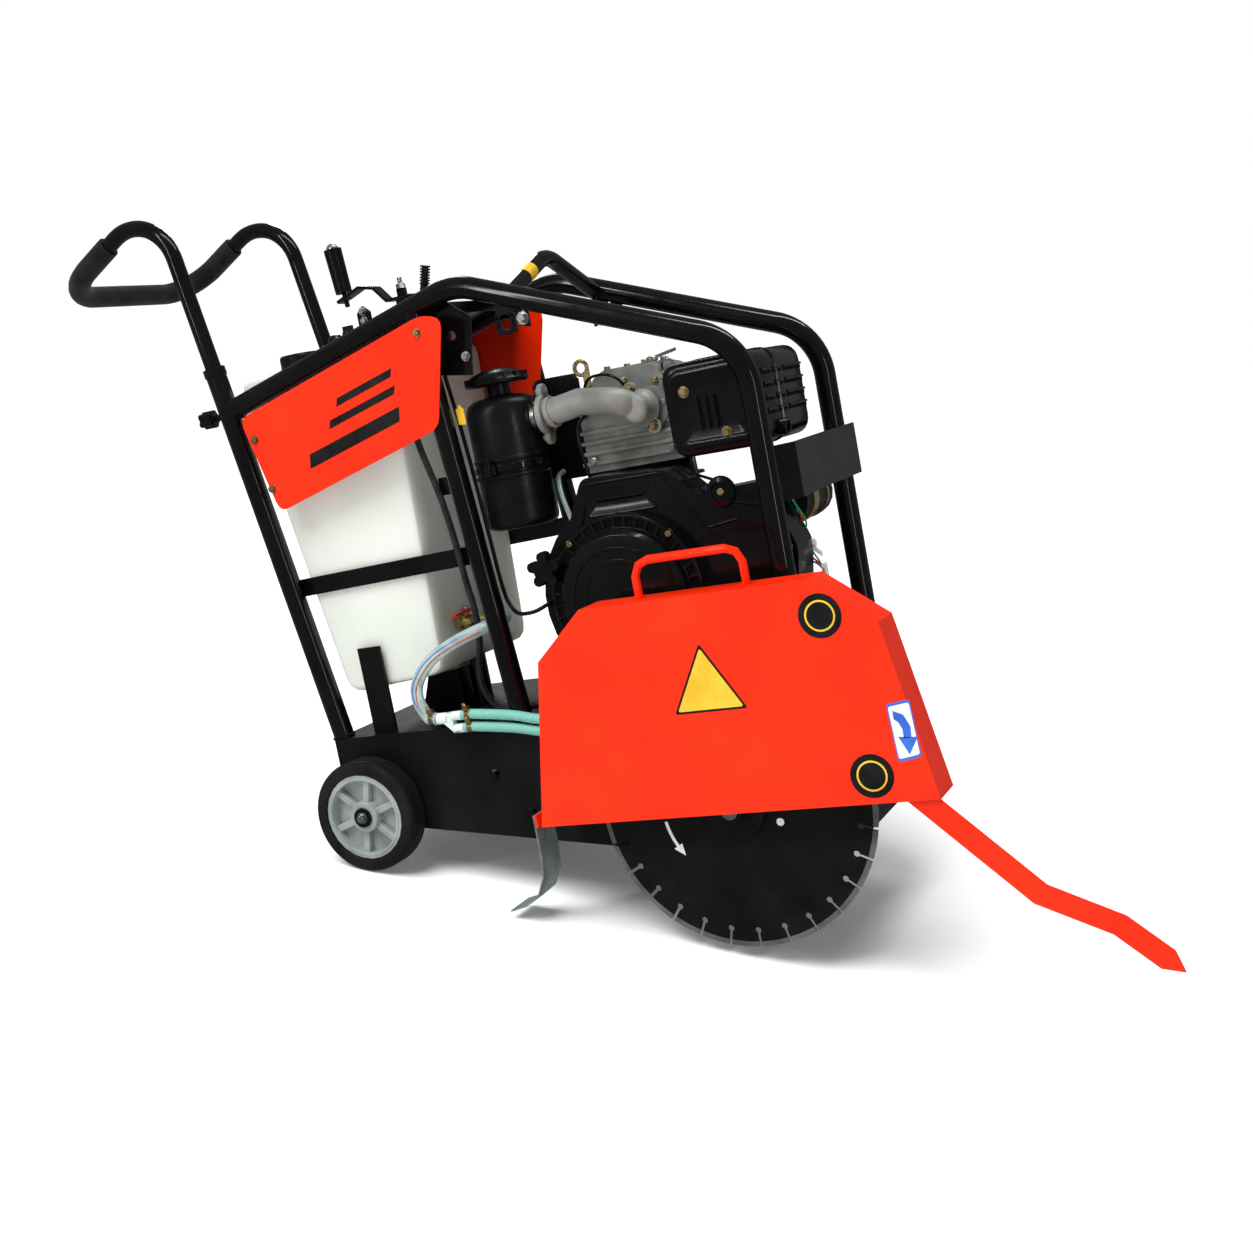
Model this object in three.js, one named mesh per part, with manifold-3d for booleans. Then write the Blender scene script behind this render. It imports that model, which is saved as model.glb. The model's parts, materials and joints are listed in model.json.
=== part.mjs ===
// Walk-behind concrete saw, petrol or diesel class, 400 mm blade.
// Chassis frame: X forward, Y to the operator's left, Z up, millimetres, zero at the blade centre line
// (X, Z) and at the machine's middle plane (Y). The whole machine is then pitched nose-up on its
// lowered front wheels and set down with its footprint centred on the origin.
import * as THREE from 'three';
import { mergeVertices } from 'three/addons/utils/BufferGeometryUtils.js';
import { ConvexGeometry } from 'three/addons/geometries/ConvexGeometry.js';
import Module from 'manifold-3d';

const wasm = await Module();
wasm.setup();

// ---- driving dimensions -------------------------------------------------------------------------
const gap = 0.3;
const nosePitchDeg = 14.5;

const bladeRadius = 200;
const bladeThick = 3;
const bladeY = -221;
const segmentCount = 28;
const arborRadius = 12.3;

const deckZ = 137.5;
const deckRear = -665;
const deckFront = 140;
const chassisHalf = 172;
const sheet = 5;

const frameY = 157;
const tubeRadius = 16;
const handleRadius = 12.5;
const rearFoot = [-655.7, deckZ];
const rearLean = 0.1603;
const rearTopZ = 728;
const frontFoot = [-336.7, deckZ];
const frontLean = 0.0767;
const railRise = 0.2548;
const railAnchor = [-674, 675];
const legX = 104.5;

const rearAxle = [-608.5, 23];
const rearWheelRadius = 86;
const rearWheelY = 197;
const rearHubRadius = 66;

const armPivot = [-345, 0];
const frontAxle = [-117.8, -135.9];
const frontWheelRadius = 55;
const frontWheelY = 90;

const crankX = -490;
const crankZ = 783;
const lugPin = [crankX, 29.7];

const tankHalf = 138;
const engineX = -137;
const engineZ = 294;
const beltY = 201;
const enginePulleyRadius = 58;
const arborPulleyRadius = 48;

const guardOuterY = -271;
const guardInnerY = -207;
const guardHinge = [-262, 22];
const pointerPivot = [235, 43];

// ---- colours ------------------------------------------------------------------------------------
const gloss = (color) => ({ color, roughness: 0.3, metalness: 0.1 });
const blackPaint = gloss(0x101214);
const orangePaint = gloss(0xff2d10);
const blackPlastic = { color: 0x1a1b1c, roughness: 0.55, metalness: 0 };
const rubber = { color: 0x1c1c1b, roughness: 0.85, metalness: 0 };
const castAluminium = { color: 0x9fa3a3, roughness: 0.5, metalness: 0.8 };
const steel = { color: 0xb8b8b5, roughness: 0.3, metalness: 1 };
const brass = { color: 0xb08a45, roughness: 0.35, metalness: 1 };
const milkyPlastic = { color: 0xdfe4dc, roughness: 0.45, metalness: 0 };
const greenHose = { color: 0x6fb9a0, roughness: 0.35, metalness: 0 };

// ---- solid helpers ------------------------------------------------------------------------------
function solid(geometry) {
  geometry.deleteAttribute('normal');
  geometry.deleteAttribute('uv');
  const merged = mergeVertices(geometry, 1e-3);
  const vertProperties = new Float32Array(merged.attributes.position.array);
  const triVerts = new Uint32Array(merged.index.array);
  return new wasm.Manifold(new wasm.Mesh({ numProp: 3, vertProperties, triVerts }));
}

function join(...pieces) {
  return pieces.flat().reduce((sum, piece) => sum.add(piece));
}

function cut(body, ...tools) {
  return tools.flat().reduce((rest, tool) => rest.subtract(tool), body);
}

function box(x0, x1, y0, y1, z0, z1) {
  const geometry = new THREE.BoxGeometry(x1 - x0, y1 - y0, z1 - z0);
  geometry.translate((x0 + x1) / 2, (y0 + y1) / 2, (z0 + z1) / 2);
  return solid(geometry);
}

// A rod between two points, drawn as a cylinder turned on to the line that joins them.
function rod(from, to, radius, sides = 12, endRadius = radius) {
  const a = new THREE.Vector3(...from);
  const b = new THREE.Vector3(...to);
  const axis = b.clone().sub(a);
  const geometry = new THREE.CylinderGeometry(endRadius, radius, axis.length(), sides);
  const turn = new THREE.Quaternion().setFromUnitVectors(new THREE.Vector3(0, 1, 0),
      axis.clone().normalize());
  geometry.applyQuaternion(turn);
  geometry.translate(...a.add(b).multiplyScalar(0.5).toArray());
  return solid(geometry);
}

function rodY(x, z, y0, y1, radius, sides = 16) {
  return rod([x, y0, z], [x, y1, z], radius, sides);
}

function rodZ(x, y, z0, z1, radius, sides = 16, topRadius = radius) {
  return rod([x, y, z0], [x, y, z1], radius, sides, topRadius);
}

// A plate whose outline lies in the XZ plane, thick along Y. Outlines are lists of [x, z].
function plateXZ(outline, y0, y1) {
  const shape = outline instanceof THREE.Shape ? outline : new THREE.Shape(outline.map(([x,
      z]) => new THREE.Vector2(x, z)));
  const geometry = new THREE.ExtrudeGeometry(shape, { depth: y1 - y0, bevelEnabled: false,
      curveSegments: 3 });
  geometry.rotateX(Math.PI / 2);
  geometry.translate(0, y1, 0);
  return solid(geometry);
}

// A plate whose outline lies in the XY plane, thick along Z. Outlines are lists of [x, y].
function plateXY(outline, z0, z1) {
  const shape = new THREE.Shape(outline.map(([x, y]) => new THREE.Vector2(x, y)));
  const geometry = new THREE.ExtrudeGeometry(shape, { depth: z1 - z0, bevelEnabled: false });
  geometry.translate(0, 0, z0);
  return solid(geometry);
}

// A solid of revolution about Y, from a closed or on-axis profile of [radius, y].
function latheY(profile, segments = 24) {
  const geometry = new THREE.LatheGeometry(profile.map(([r, y]) => new THREE.Vector2(r, y)), segments);
  return solid(geometry);
}

function latheZ(profile, x, y, segments = 16) {
  const geometry = new THREE.LatheGeometry(profile.map(([r, z]) => new THREE.Vector2(r, z)), segments);
  geometry.rotateX(Math.PI / 2);
  geometry.translate(x, y, 0);
  return solid(geometry);
}

function convex(points) {
  return solid(new ConvexGeometry(points.map((p) => new THREE.Vector3(...p))));
}

// A path of straight runs whose corners are rounded to the given radius.
function bentPath(points, radius) {
  const path = new THREE.CurvePath();
  const corners = points.map((p) => new THREE.Vector3(...p));
  let start = corners[0];
  for (let i = 1; i < corners.length - 1; i += 1) {
    const back = corners[i - 1].clone().sub(corners[i]).normalize();
    const ahead = corners[i + 1].clone().sub(corners[i]).normalize();
    const half = back.angleTo(ahead) / 2;
    const reach = radius / Math.tan(half);
    const inward = back.clone().add(ahead).normalize();
    const centre = inward.multiplyScalar(radius / Math.sin(half)).add(corners[i]);
    const enter = corners[i].clone().addScaledVector(back, reach);
    const leave = corners[i].clone().addScaledVector(ahead, reach);
    path.add(new THREE.LineCurve3(start, enter));
    path.add(new ArcCurve(centre, enter, leave));
    start = leave;
  }
  path.add(new THREE.LineCurve3(start, corners[corners.length - 1]));
  return path;
}

// The circular arc about a centre that joins two points at the same distance from it.
class ArcCurve extends THREE.Curve {
  constructor(centre, enter, leave) {
    super();
    this.centre = centre;
    this.enter = enter.clone().sub(centre);
    this.leave = leave.clone().sub(centre);
    this.sweep = this.enter.angleTo(this.leave);
  }

  getPoint(t, target = new THREE.Vector3()) {
    const a = Math.sin((1 - t) * this.sweep) / Math.sin(this.sweep);
    const b = Math.sin(t * this.sweep) / Math.sin(this.sweep);
    return target.copy(this.centre).addScaledVector(this.enter, a).addScaledVector(this.leave, b);
  }
}

function circleShape(radius, sides, hole = 0) {
  const ring = (r) => Array.from({ length: sides }, (_, i) => {
    const angle = (i * 2 * Math.PI) / sides;
    return new THREE.Vector2(r * Math.cos(angle), r * Math.sin(angle));
  });
  const shape = new THREE.Shape(ring(radius));
  if (hole > 0) shape.holes.push(new THREE.Path(ring(hole)));
  return shape;
}

function sweep(path, radius, steps, sides = 10, hole = 0) {
  const options = { steps, bevelEnabled: false, extrudePath: path };
  return solid(new THREE.ExtrudeGeometry(circleShape(radius, sides, hole), options));
}

function hose(points, radius, steps, sides = 10) {
  const path = new THREE.CatmullRomCurve3(points.map((p) => new THREE.Vector3(...p)), false, 'centripetal');
  return sweep(path, radius, steps, sides);
}

// The outline of a belt or cover that wraps two round centres, each grown by the same margin.
function wrapOutline([x0, z0, r0], [x1, z1, r1], margin, sides = 10) {
  const line = Math.atan2(z1 - z0, x1 - x0);
  const lean = Math.acos((r0 - r1) / Math.hypot(x1 - x0, z1 - z0));
  const arc = (x, z, r, from, to) => Array.from({ length: sides + 1 }, (_, i) => {
    const angle = from + ((to - from) * i) / sides;
    return [x + (r + margin) * Math.cos(angle), z + (r + margin) * Math.sin(angle)];
  });
  return [
    ...arc(x1, z1, r1, line - lean, line + lean),
    ...arc(x0, z0, r0, line + lean, line + 2 * Math.PI - lean),
  ];
}

// The outline of a strip of even thickness along a line of [x, z] points.
function stripOutline(points, thick) {
  const side = (sign) => points.map(([x, z], i) => {
    const [x0, z0] = points[Math.max(i - 1, 0)];
    const [x1, z1] = points[Math.min(i + 1, points.length - 1)];
    const length = Math.hypot(x1 - x0, z1 - z0);
    return [x - (sign * thick * (z1 - z0)) / (2 * length), z + (sign * thick * (x1 - x0)) / (2 * length)];
  });
  return [...side(1), ...side(-1).reverse()];
}

const machine = new THREE.Group();

function add(name, manifold, look, position = [0, 0, 0], rotation = [0, 0, 0]) {
  const { vertProperties, triVerts } = manifold.getMesh();
  const geometry = new THREE.BufferGeometry();
  geometry.setAttribute('position', new THREE.BufferAttribute(vertProperties, 3));
  geometry.setIndex(new THREE.BufferAttribute(triVerts, 1));
  geometry.computeVertexNormals();
  const mesh = new THREE.Mesh(geometry, new THREE.MeshStandardMaterial(look));
  mesh.name = name;
  mesh.position.set(...position);
  mesh.rotation.set(...rotation);
  machine.add(mesh);
}

// ---- lines that several parts share -------------------------------------------------------------
const railZ = (x) => railAnchor[1] + (x - railAnchor[0]) * railRise;
const rearX = (z) => rearFoot[0] - (z - rearFoot[1]) * rearLean;
const frontX = (z) => frontFoot[0] - (z - frontFoot[1]) * frontLean;
const tankFrontX = (z) => -468 + (z - 214) * 0.033;
const rearRod = (side, z0, z1, radius) => rod([rearX(z0), side * frameY, z0],
    [rearX(z1), side * frameY, z1], radius, 14);
const frontRod = (side, z0, z1, radius) => rod([frontX(z0), side * frameY, z0],
    [frontX(z1), side * frameY, z1], radius, 14);
const belowDeck = box(-900, 400, -400, 400, -300, deckZ + gap);

// ---- chassis and cage ---------------------------------------------------------------------------
function chassis() {
  const side = [[deckRear, deckZ], [deckRear, 20], [-640, 2.5], [-50, -84.5], [deckFront, -84.5],
      [deckFront, deckZ]];
  const walls = [-1, 1].map((s) => plateXZ(side, Math.min(s * chassisHalf, s * (chassisHalf - sheet)),
    Math.max(s * chassisHalf, s * (chassisHalf - sheet))));
  const deck = box(deckRear, deckFront, -chassisHalf, chassisHalf, deckZ - sheet, deckZ);
  const rearWall = box(deckRear, deckRear + sheet, -chassisHalf, chassisHalf, 20, deckZ);
  const frontWall = box(deckFront - sheet, deckFront, -chassisHalf, chassisHalf, -84.5, deckZ);
  const axle = rodY(rearAxle[0], rearAxle[1], -rearWheelY - 22, rearWheelY + 22, 10, 12);
  const caps = [-1, 1].map((s) => rodY(rearAxle[0], rearAxle[1], s * (rearWheelY + 20.6),
      s * (rearWheelY + 25), 15, 12));
  const housing = rodY(0, 0, -chassisHalf + 1, chassisHalf - 1, 30);
  const armPin = rodY(armPivot[0], armPivot[1], -chassisHalf + 1, chassisHalf - 1, 8, 10);
  const posts = [-1, 1].map((s) => tankPost(s));
  const stand = tankStand();
  const body = join(deck, walls, rearWall, frontWall, axle, caps, housing, armPin, posts, stand);
  const arborBore = rodY(0, 0, -chassisHalf - 2, chassisHalf + 2, arborRadius + 0.9, 16);
  const screwHole = rodZ(crankX, 0, deckZ - sheet - 2, deckZ + 2, 12.6, 16);
  const deckHole = rodZ(-395, -120, deckZ - sheet - 2, deckZ + 2, 7, 12);
  return cut(body, arborBore, screwHole, deckHole);
}

function tankPost(side) {
  const [y0, y1] = side < 0 ? [-149, -tankHalf - 6] : [tankHalf + 6, 149];
  const upright = box(-605, -565, y0, y1, deckZ - 1, 270);
  const flange = box(-605, -600, side < 0 ? -149 : 120, side < 0 ? -120 : 149, deckZ - 1, 190);
  return join(upright, flange);
}

// The folded bracket that carries the front of the tank floor.
function tankStand() {
  const outline = [[-584, deckZ - 1], [-508, deckZ - 1], [-508, 150], [-512, 202], [-566, 196],
      [-584, 150]];
  return plateXZ(outline, -30, 30);
}

function rearUpright(side) {
  const tube = cut(rearRod(side, deckZ - 10, rearTopZ, tubeRadius), belowDeck);
  const bore = rearRod(side, 520, rearTopZ + 20, handleRadius + 0.8);
  const collar = rearRod(side, rearTopZ - 12, rearTopZ, tubeRadius + 1.5);
  const stemHole = rod([rearX(654) - 30, side * frameY, 654], [rearX(654), side * frameY, 654], 5.4, 12);
  return cut(join(tube, collar), bore, stemHole);
}

function frontUpright(side) {
  const tube = cut(frontRod(side, deckZ - 10, railZ(-384), tubeRadius), belowDeck);
  const inner = side * (tankHalf + 3);
  const outer = side * (tankHalf + 6);
  const [y0, y1] = inner < outer ? [inner, outer] : [outer, inner];
  const strapLine = [[rearX(374) + 4, 374], [frontX(386), 386]];
  const strap = plateXZ(stripOutline(strapLine, 27), y0, y1);
  const tab = side < 0 ? [plateXZ([[-406, 478], [-362, 478], [-362, 504], [-406, 504]], y0, y1)] : [];
  const railTool = rod([-737, side * frameY, railZ(-737)], [-350, side * frameY, railZ(-350)],
      tubeRadius + gap, 24);
  const rearTool = rearRod(side, 300, 450, tubeRadius + gap);
  return cut(join(tube, strap, tab), railTool, rearTool);
}

function cageLoop(side) {
  const y = side * frameY;
  const rearEnd = [rearX(658.8) + 5, y, 660];
  const peak = [-309, y, 768];
  const path = bentPath([rearEnd, peak, [legX, y, 612], [legX, y, deckZ + gap]], 95);
  return cut(sweep(path, tubeRadius, 30), rearRod(side, 560, 760, tubeRadius + gap));
}

function liftingBail() {
  const x = -236;
  const base = railZ(-309) - (x + 309) * 0.377 - 9;
  const path = bentPath([[x, -frameY, base], [x, 0, 795], [x, frameY, base]], 70);
  const rails = [-1, 1].map((s) => rod([-380, s * frameY, 794.8], [-100, s * frameY, 689.2],
      tubeRadius + 2.5, 20));
  return cut(sweep(path, 12, 14, 8), rails);
}

// ---- console, panels and tank -------------------------------------------------------------------
const stopSpot = [-588, -58];
const keySpot = [-562, -58];
const switchBoxTop = 730;

function consolePanel() {
  const half = frameY - tubeRadius - 1.5;
  const rear = -640;
  const front = -372;
  const top = plateXZ([[rear, railZ(rear) - 1], [front, railZ(front) - 1], [front, railZ(front) + 2],
      [rear, railZ(rear) + 2]],
    -half, half);
  const flange = (drop, y0, y1) => plateXZ([
    [front - 3, railZ(front) - drop], [front, railZ(front) - drop],
    [front, railZ(front) + 1], [front - 3, railZ(front)],
  ], y0, y1);
  const frontFlange = flange(15, -half, half);
  const cableTab = flange(60, -half, -half + 34);
  const rearFlange = plateXZ([[rear, railZ(rear) - 17], [rear + 3, railZ(rear) - 17],
      [rear + 3, railZ(rear)], [rear, railZ(rear)]],
    -half, half);
  const gusset = [[-376, 650], [-376, railZ(-374)], [-345, 756], [-302, 722], [-318, 640]];
  const gussetPlate = plateXZ(gusset, -half, -half + 4);
  const lugs = plateXZ([[-514, railZ(-514)], [-494, railZ(-494)], [-492, 764], [-503, 774], [-514, 764]],
      -100, -94);
  const plates = join(top, frontFlange, cableTab, rearFlange, gussetPlate, lugs);
  const leverSlot = box(-414, -360, -half + 2.2, -half + 10.5, 700, 775);
  const crankHole = rodZ(crankX, 0, 690, 760, 15.6, 20);
  const switchHoles = [stopSpot, keySpot].map(([x, y]) => (
    rodZ(x, y, railZ(x) - 30, switchBoxTop + 5, 6.5, 12)));
  const switchBox = plateXZ([
    [-606, railZ(-606)], [-544, railZ(-544)], [-544, switchBoxTop], [-606, switchBoxTop],
  ], -76, -40);
  return cut(join(plates, switchBox), crankHole, switchHoles, leverSlot);
}

function roundedOutline(points, radius) {
  const shape = new THREE.Shape();
  const corners = points.map(([x, z]) => new THREE.Vector2(x, z));
  corners.forEach((corner, i) => {
    const before = corners[(i + corners.length - 1) % corners.length];
    const after = corners[(i + 1) % corners.length];
    const enter = corner.clone().add(before.clone().sub(corner).setLength(radius));
    const leave = corner.clone().add(after.clone().sub(corner).setLength(radius));
    if (i === 0) shape.moveTo(enter.x, enter.y);
    else shape.lineTo(enter.x, enter.y);
    shape.quadraticCurveTo(corner.x, corner.y, leave.x, leave.y);
  });
  shape.closePath();
  return shape;
}

function sidePanel(side) {
  const outline = [[-709, 645], [-362, 736], [-328, 726], [-368, 575], [-671, 496]];
  // The right panel is bolted on outside its tubes and the left one inside them.
  const y = side < 0 ? -frameY - tubeRadius - gap - 2.5 : tankHalf + 0.4;
  return plateXZ(roundedOutline(outline, 16), y, side < 0 ? y + 2.5 : y + 2);
}

function waterTank() {
  const outline = [[-644, 200], [tankFrontX(214), 214], [tankFrontX(704), 704], [-727, 704]];
  const bevel = 10;
  const shape = roundedOutline(outline, 24);
  const depth = 2 * (tankHalf - bevel);
  const options = { depth, bevelEnabled: true, bevelSize: bevel, bevelThickness: bevel, bevelOffset: -bevel,
    bevelSegments: 2, curveSegments: 3 };
  const geometry = new THREE.ExtrudeGeometry(shape, options);
  geometry.rotateX(Math.PI / 2);
  geometry.translate(0, depth / 2, 0);
  const tunnel = rodZ(crankX, 0, 100, 800, 16.5, 20);
  const clearance = [plateXZ([[-645, railZ(-645) - 24], [-360, railZ(-360) - 24], [-360, 800],
      [-645, 800]], -200, 200)];
  const neck = rodZ(-700, 0, 700, 712, 24);
  const mouth = rodZ(-700, 0, 640, 720, 19, 14);
  return cut(join(cut(solid(geometry), tunnel, clearance), neck), mouth);
}

function tankCap() {
  const cap = latheZ([[0, 713], [33, 713], [33, 729], [30, 733], [0, 733]], -700, 0);
  const skirt = rodZ(-700, 0, 705, 714, 33, 20);
  const bore = rodZ(-700, 0, 700, 713, 25.5);
  return cut(join(cap, skirt), bore);
}

function ballValve() {
  const [y, z] = [-75, 281];
  const x0 = tankFrontX(z) + 1;
  const collar = rod([x0, y, z], [x0 + 12, y, z], 13, 6);
  const body = rod([x0 + 8, y, z], [x0 + 30, y, z], 9.5, 16);
  const spout = rod([x0 + 28, y, z], [x0 + 41, y, z], 7);
  const stem = rodZ(x0 + 19, y, z, z + 14, 4.5, 12);
  return join(collar, body, spout, stem);
}

function valveLever() {
  const [y, z] = [-75, 281];
  const x = tankFrontX(z) + 20;
  const hub = rodZ(x, y, z + 14 + gap, z + 19, 8, 12);
  const blade = convex([[x - 4, y - 5, z + 15], [x + 4, y - 5, z + 15], [x - 5, y - 40, z + 13],
      [x + 5, y - 40, z + 13],
    [x - 4, y - 5, z + 18], [x + 4, y - 5, z + 18], [x - 5, y - 40, z + 16], [x + 5, y - 40, z + 16]]);
  return join(hub, blade);
}

// ---- handle and its clamps ----------------------------------------------------------------------
const handleCorners = (() => {
  const foot = 560;
  const near = [[rearX(foot), -frameY, foot], [rearX(998), -frameY, 998], [-1010, -frameY, 887]];
  return [...near, ...near.map(([x, y, z]) => [x, -y, z]).reverse()];
})();

const handlePath = () => bentPath(handleCorners, 72);
const handleSteps = 40;

function foamGrip() {
  const sleeve = sweep(handlePath(), 17, handleSteps, 10, handleRadius + 0.9);
  const arches = box(-898, -600, -400, 400, 300, 1200);
  return cut(sleeve, arches);
}

function clampKnob() {
  const head = rod([-12, 0, 0], [12, 0, 0], 10);
  const lobes = [0, 1, 2, 3, 4].map((i) => {
    const angle = (i * 2 * Math.PI) / 5;
    return rod([-12, 9 * Math.cos(angle), 9 * Math.sin(angle)],
        [10, 9 * Math.cos(angle), 9 * Math.sin(angle)], 5, 8);
  });
  return join(head, lobes, rod([10, 0, 0], [25, 0, 0], 4.8));
}

// ---- depth drive --------------------------------------------------------------------------------
function screwTube() {
  const tube = rodZ(crankX, 0, deckZ + gap, 766, 15, 20);
  return cut(tube, rodZ(crankX, 0, 100, 800, 12.6, 20));
}

function crankArm() {
  const spindle = rodZ(crankX, 0, 350, crankZ, 5.8, 12);
  const hub = rodZ(crankX, 0, 767, 780, 12, 20);
  const nut = rodZ(crankX, 0, 780, 796, 8, 6);
  const line = [[-472, 782], [-515, 782], [-534, 805], [-560, 811], [-603, 796]];
  const arm = plateXZ(stripOutline(line, 5), -11, 11);
  const bolt = rod([-592, 0, 787], [-598.2, 0, 873], 4, 8);
  return join(spindle, hub, nut, arm, bolt);
}

function crankGrip() {
  const body = rod([-593.6, 0, 809], [-598.6, 0, 878], 13, 16, 14);
  return cut(body, rod([-591, 0, 780], [-598.4, 0, 875], 4.8, 12));
}

function depthRod() {
  const [x, z] = lugPin;
  const body = rodZ(x, 0, z + 24, 440, 11.6);
  const yoke = box(x - 11, x + 11, -11.5, 11.5, z - 11, z + 28);
  const slot = box(x - 20, x + 20, -6, 6, z - 20, z + 23);
  const pin = rodY(x, z, -10, 10, 5, 12);
  return join(cut(join(body, yoke), slot), pin).subtract(rodZ(x, 0, 330, 450, 7.4, 12));
}

function swingArm() {
  const [x, z] = armPivot;
  const bar = (x1, z1, y0, y1, half) => {
    const length = Math.hypot(x1 - x, z1 - z);
    const nx = (-(z1 - z) / length) * half;
    const nz = ((x1 - x) / length) * half;
    return plateXZ([[x + nx, z + nz], [x1 + nx, z1 + nz], [x1 - nx, z1 - nz], [x - nx, z - nz]], y0, y1);
  };
  const tube = rodY(x, z, -125, 125, 16, 12);
  const arms = [-52, 44].map((y) => bar(frontAxle[0], frontAxle[1], y, y + 8, 16));
  const axleEnds = [-52, 44].map((y) => rodY(frontAxle[0], frontAxle[1], y, y + 8, 16, 12));
  const axle = rodY(frontAxle[0], frontAxle[1], -frontWheelY - 22, frontWheelY + 22, 8, 10);
  const caps = [-1, 1].map((s) => rodY(frontAxle[0], frontAxle[1], s * (frontWheelY + 21),
      s * (frontWheelY + 25), 13, 10));
  const lug = bar(lugPin[0] - 14, lugPin[1] + 2.9, -5, 5, 15);
  const slotCentre = Math.hypot(lugPin[0] - x, lugPin[1] - z) - 1.4;
  const lean = Math.atan2(lugPin[1] - z, lugPin[0] - x);
  const slot = [-2.6, 2.6].map((d) => rodY(x + (slotCentre + d) * Math.cos(lean),
      z + (slotCentre + d) * Math.sin(lean), -8, 8, 6.2, 12));
  return cut(join(tube, arms, axleEnds, axle, caps, lug), rodY(x, z, -130, 130, 9, 12), slot);
}

// ---- wheels, drawn about their own axle ---------------------------------------------------------
function rearTyre() {
  const w = 23;
  const r = rearWheelRadius;
  const inner = rearHubRadius + gap;
  return latheY([[inner, -w + 3], [r - 12, -w], [r - 3, -w + 3], [r, -w + 9], [r, w - 9], [r - 3, w - 3],
      [r - 12, w], [inner, w - 3],
    [inner, -w + 3]], 24);
}

function rearHub() {
  const w = 20;
  const rim = rearHubRadius - 0.2;
  const lower = [[0, -w], [24, -w], [24, -4], [57, -4], [57, -w], [rim, -w]];
  const upper = lower.map(([r, y]) => [r, -y]).reverse();
  return cut(latheY([...lower, ...upper], 24), rodY(0, 0, -w - 2, w + 2, 10.9, 12));
}

function frontWheel() {
  const w = 19;
  const r = frontWheelRadius;
  const profile = [[0, -w], [r - 8, -w], [r - 2, -w + 3], [r, -w + 7], [r, w - 7], [r - 2, w - 3],
      [r - 8, w], [0, w]];
  return cut(latheY(profile, 20), rodY(0, 0, -w - 2, w + 2, 9, 10));
}

// ---- blade, arbor and guard ---------------------------------------------------------------------
function sawBlade() {
  const slotInner = 178;
  const slotHalf = 1.6;
  const outline = [];
  const pitch = (2 * Math.PI) / segmentCount;
  const polar = (r, angle) => [r * Math.cos(angle), r * Math.sin(angle)];
  for (let i = 0; i < segmentCount; i += 1) {
    const slot = i * pitch;
    const outerHalf = slotHalf / bladeRadius;
    const innerHalf = slotHalf / slotInner;
    outline.push(polar(bladeRadius, slot - outerHalf), polar(slotInner, slot - innerHalf));
    outline.push(polar(slotInner - 5, slot), polar(slotInner, slot + innerHalf),
        polar(bladeRadius, slot + outerHalf));
    outline.push(polar(bladeRadius, slot + pitch / 2));
  }
  const disc = plateXZ(outline, bladeY - bladeThick / 2, bladeY + bladeThick / 2);
  return cut(disc, rodY(0, 0, bladeY - 5, bladeY + 5, arborRadius + 0.6, 24));
}

function arborShaft() {
  const shaft = rodY(0, 0, bladeY - 26, beltY + 22, arborRadius, 16);
  const flangeY = bladeY + bladeThick / 2 + gap;
  const flange = rodY(0, 0, flangeY, flangeY + 9, 45, 20);
  const collar = rodY(0, 0, flangeY + 8, -chassisHalf - 4, 20, 12);
  const pulley = pulleyAt(0, 0, arborPulleyRadius);
  return join(shaft, flange, collar, pulley);
}

// A flat-faced pulley with raised rims.
function pulleyAt(x, z, radius) {
  const w = 15;
  const groove = 3;
  const profile = [[0, -w], [radius + 4, -w], [radius, -w + groove], [radius, w - groove],
      [radius + 4, w], [0, w]];
  return latheY(profile, 16).translate([x, beltY, z]);
}

function bladeNut() {
  const y0 = bladeY - bladeThick / 2 - gap;
  const flange = rodY(0, 0, y0 - 8, y0, 45, 28);
  const nut = rodY(0, 0, y0 - 22, y0 - 7, 19, 6);
  return cut(join(flange, nut), rodY(0, 0, y0 - 30, y0 + 5, arborRadius + 0.6, 24));
}

const guardOutline = [[-275, 3], [300, 3], [258, 236], [175, 301], [-153, 301], [-230, 236]];

function guardCover() {
  const skin = 3;
  const shell = plateXZ(guardOutline, guardOuterY, guardInnerY);
  const hollow = [[-271.6, -30], [296.5, -30], [296.5, 3], [255.4, 234.6], [174, 298], [-152, 298],
      [-227.4, 234.6], [-271.6, 3]];
  const knuckle = rodY(guardHinge[0], guardHinge[1], guardOuterY + 1, -226, 9.5, 16);
  const bracket = box(pointerPivot[0] - 22, pointerPivot[0] + 22, guardOuterY + 1, guardOuterY + 5,
      pointerPivot[1] - 20, pointerPivot[1] + 26);
  const pin = rodY(pointerPivot[0], pointerPivot[1], guardOuterY + 1, guardOuterY + 17, 6, 16);
  const y = -241;
  const bar = bentPath([[-74, y, 300], [-74, y, 352], [82, y, 352], [82, y, 300]], 22);
  const hollowed = cut(shell, plateXZ(hollow, guardOuterY + skin, guardInnerY + 5));
  const hingeBore = rodY(guardHinge[0], guardHinge[1], guardOuterY + 6, -200, 5.6, 16);
  return cut(join(hollowed, knuckle, bracket, pin, sweep(bar, 6, 15, 8)), hingeBore);
}

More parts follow.
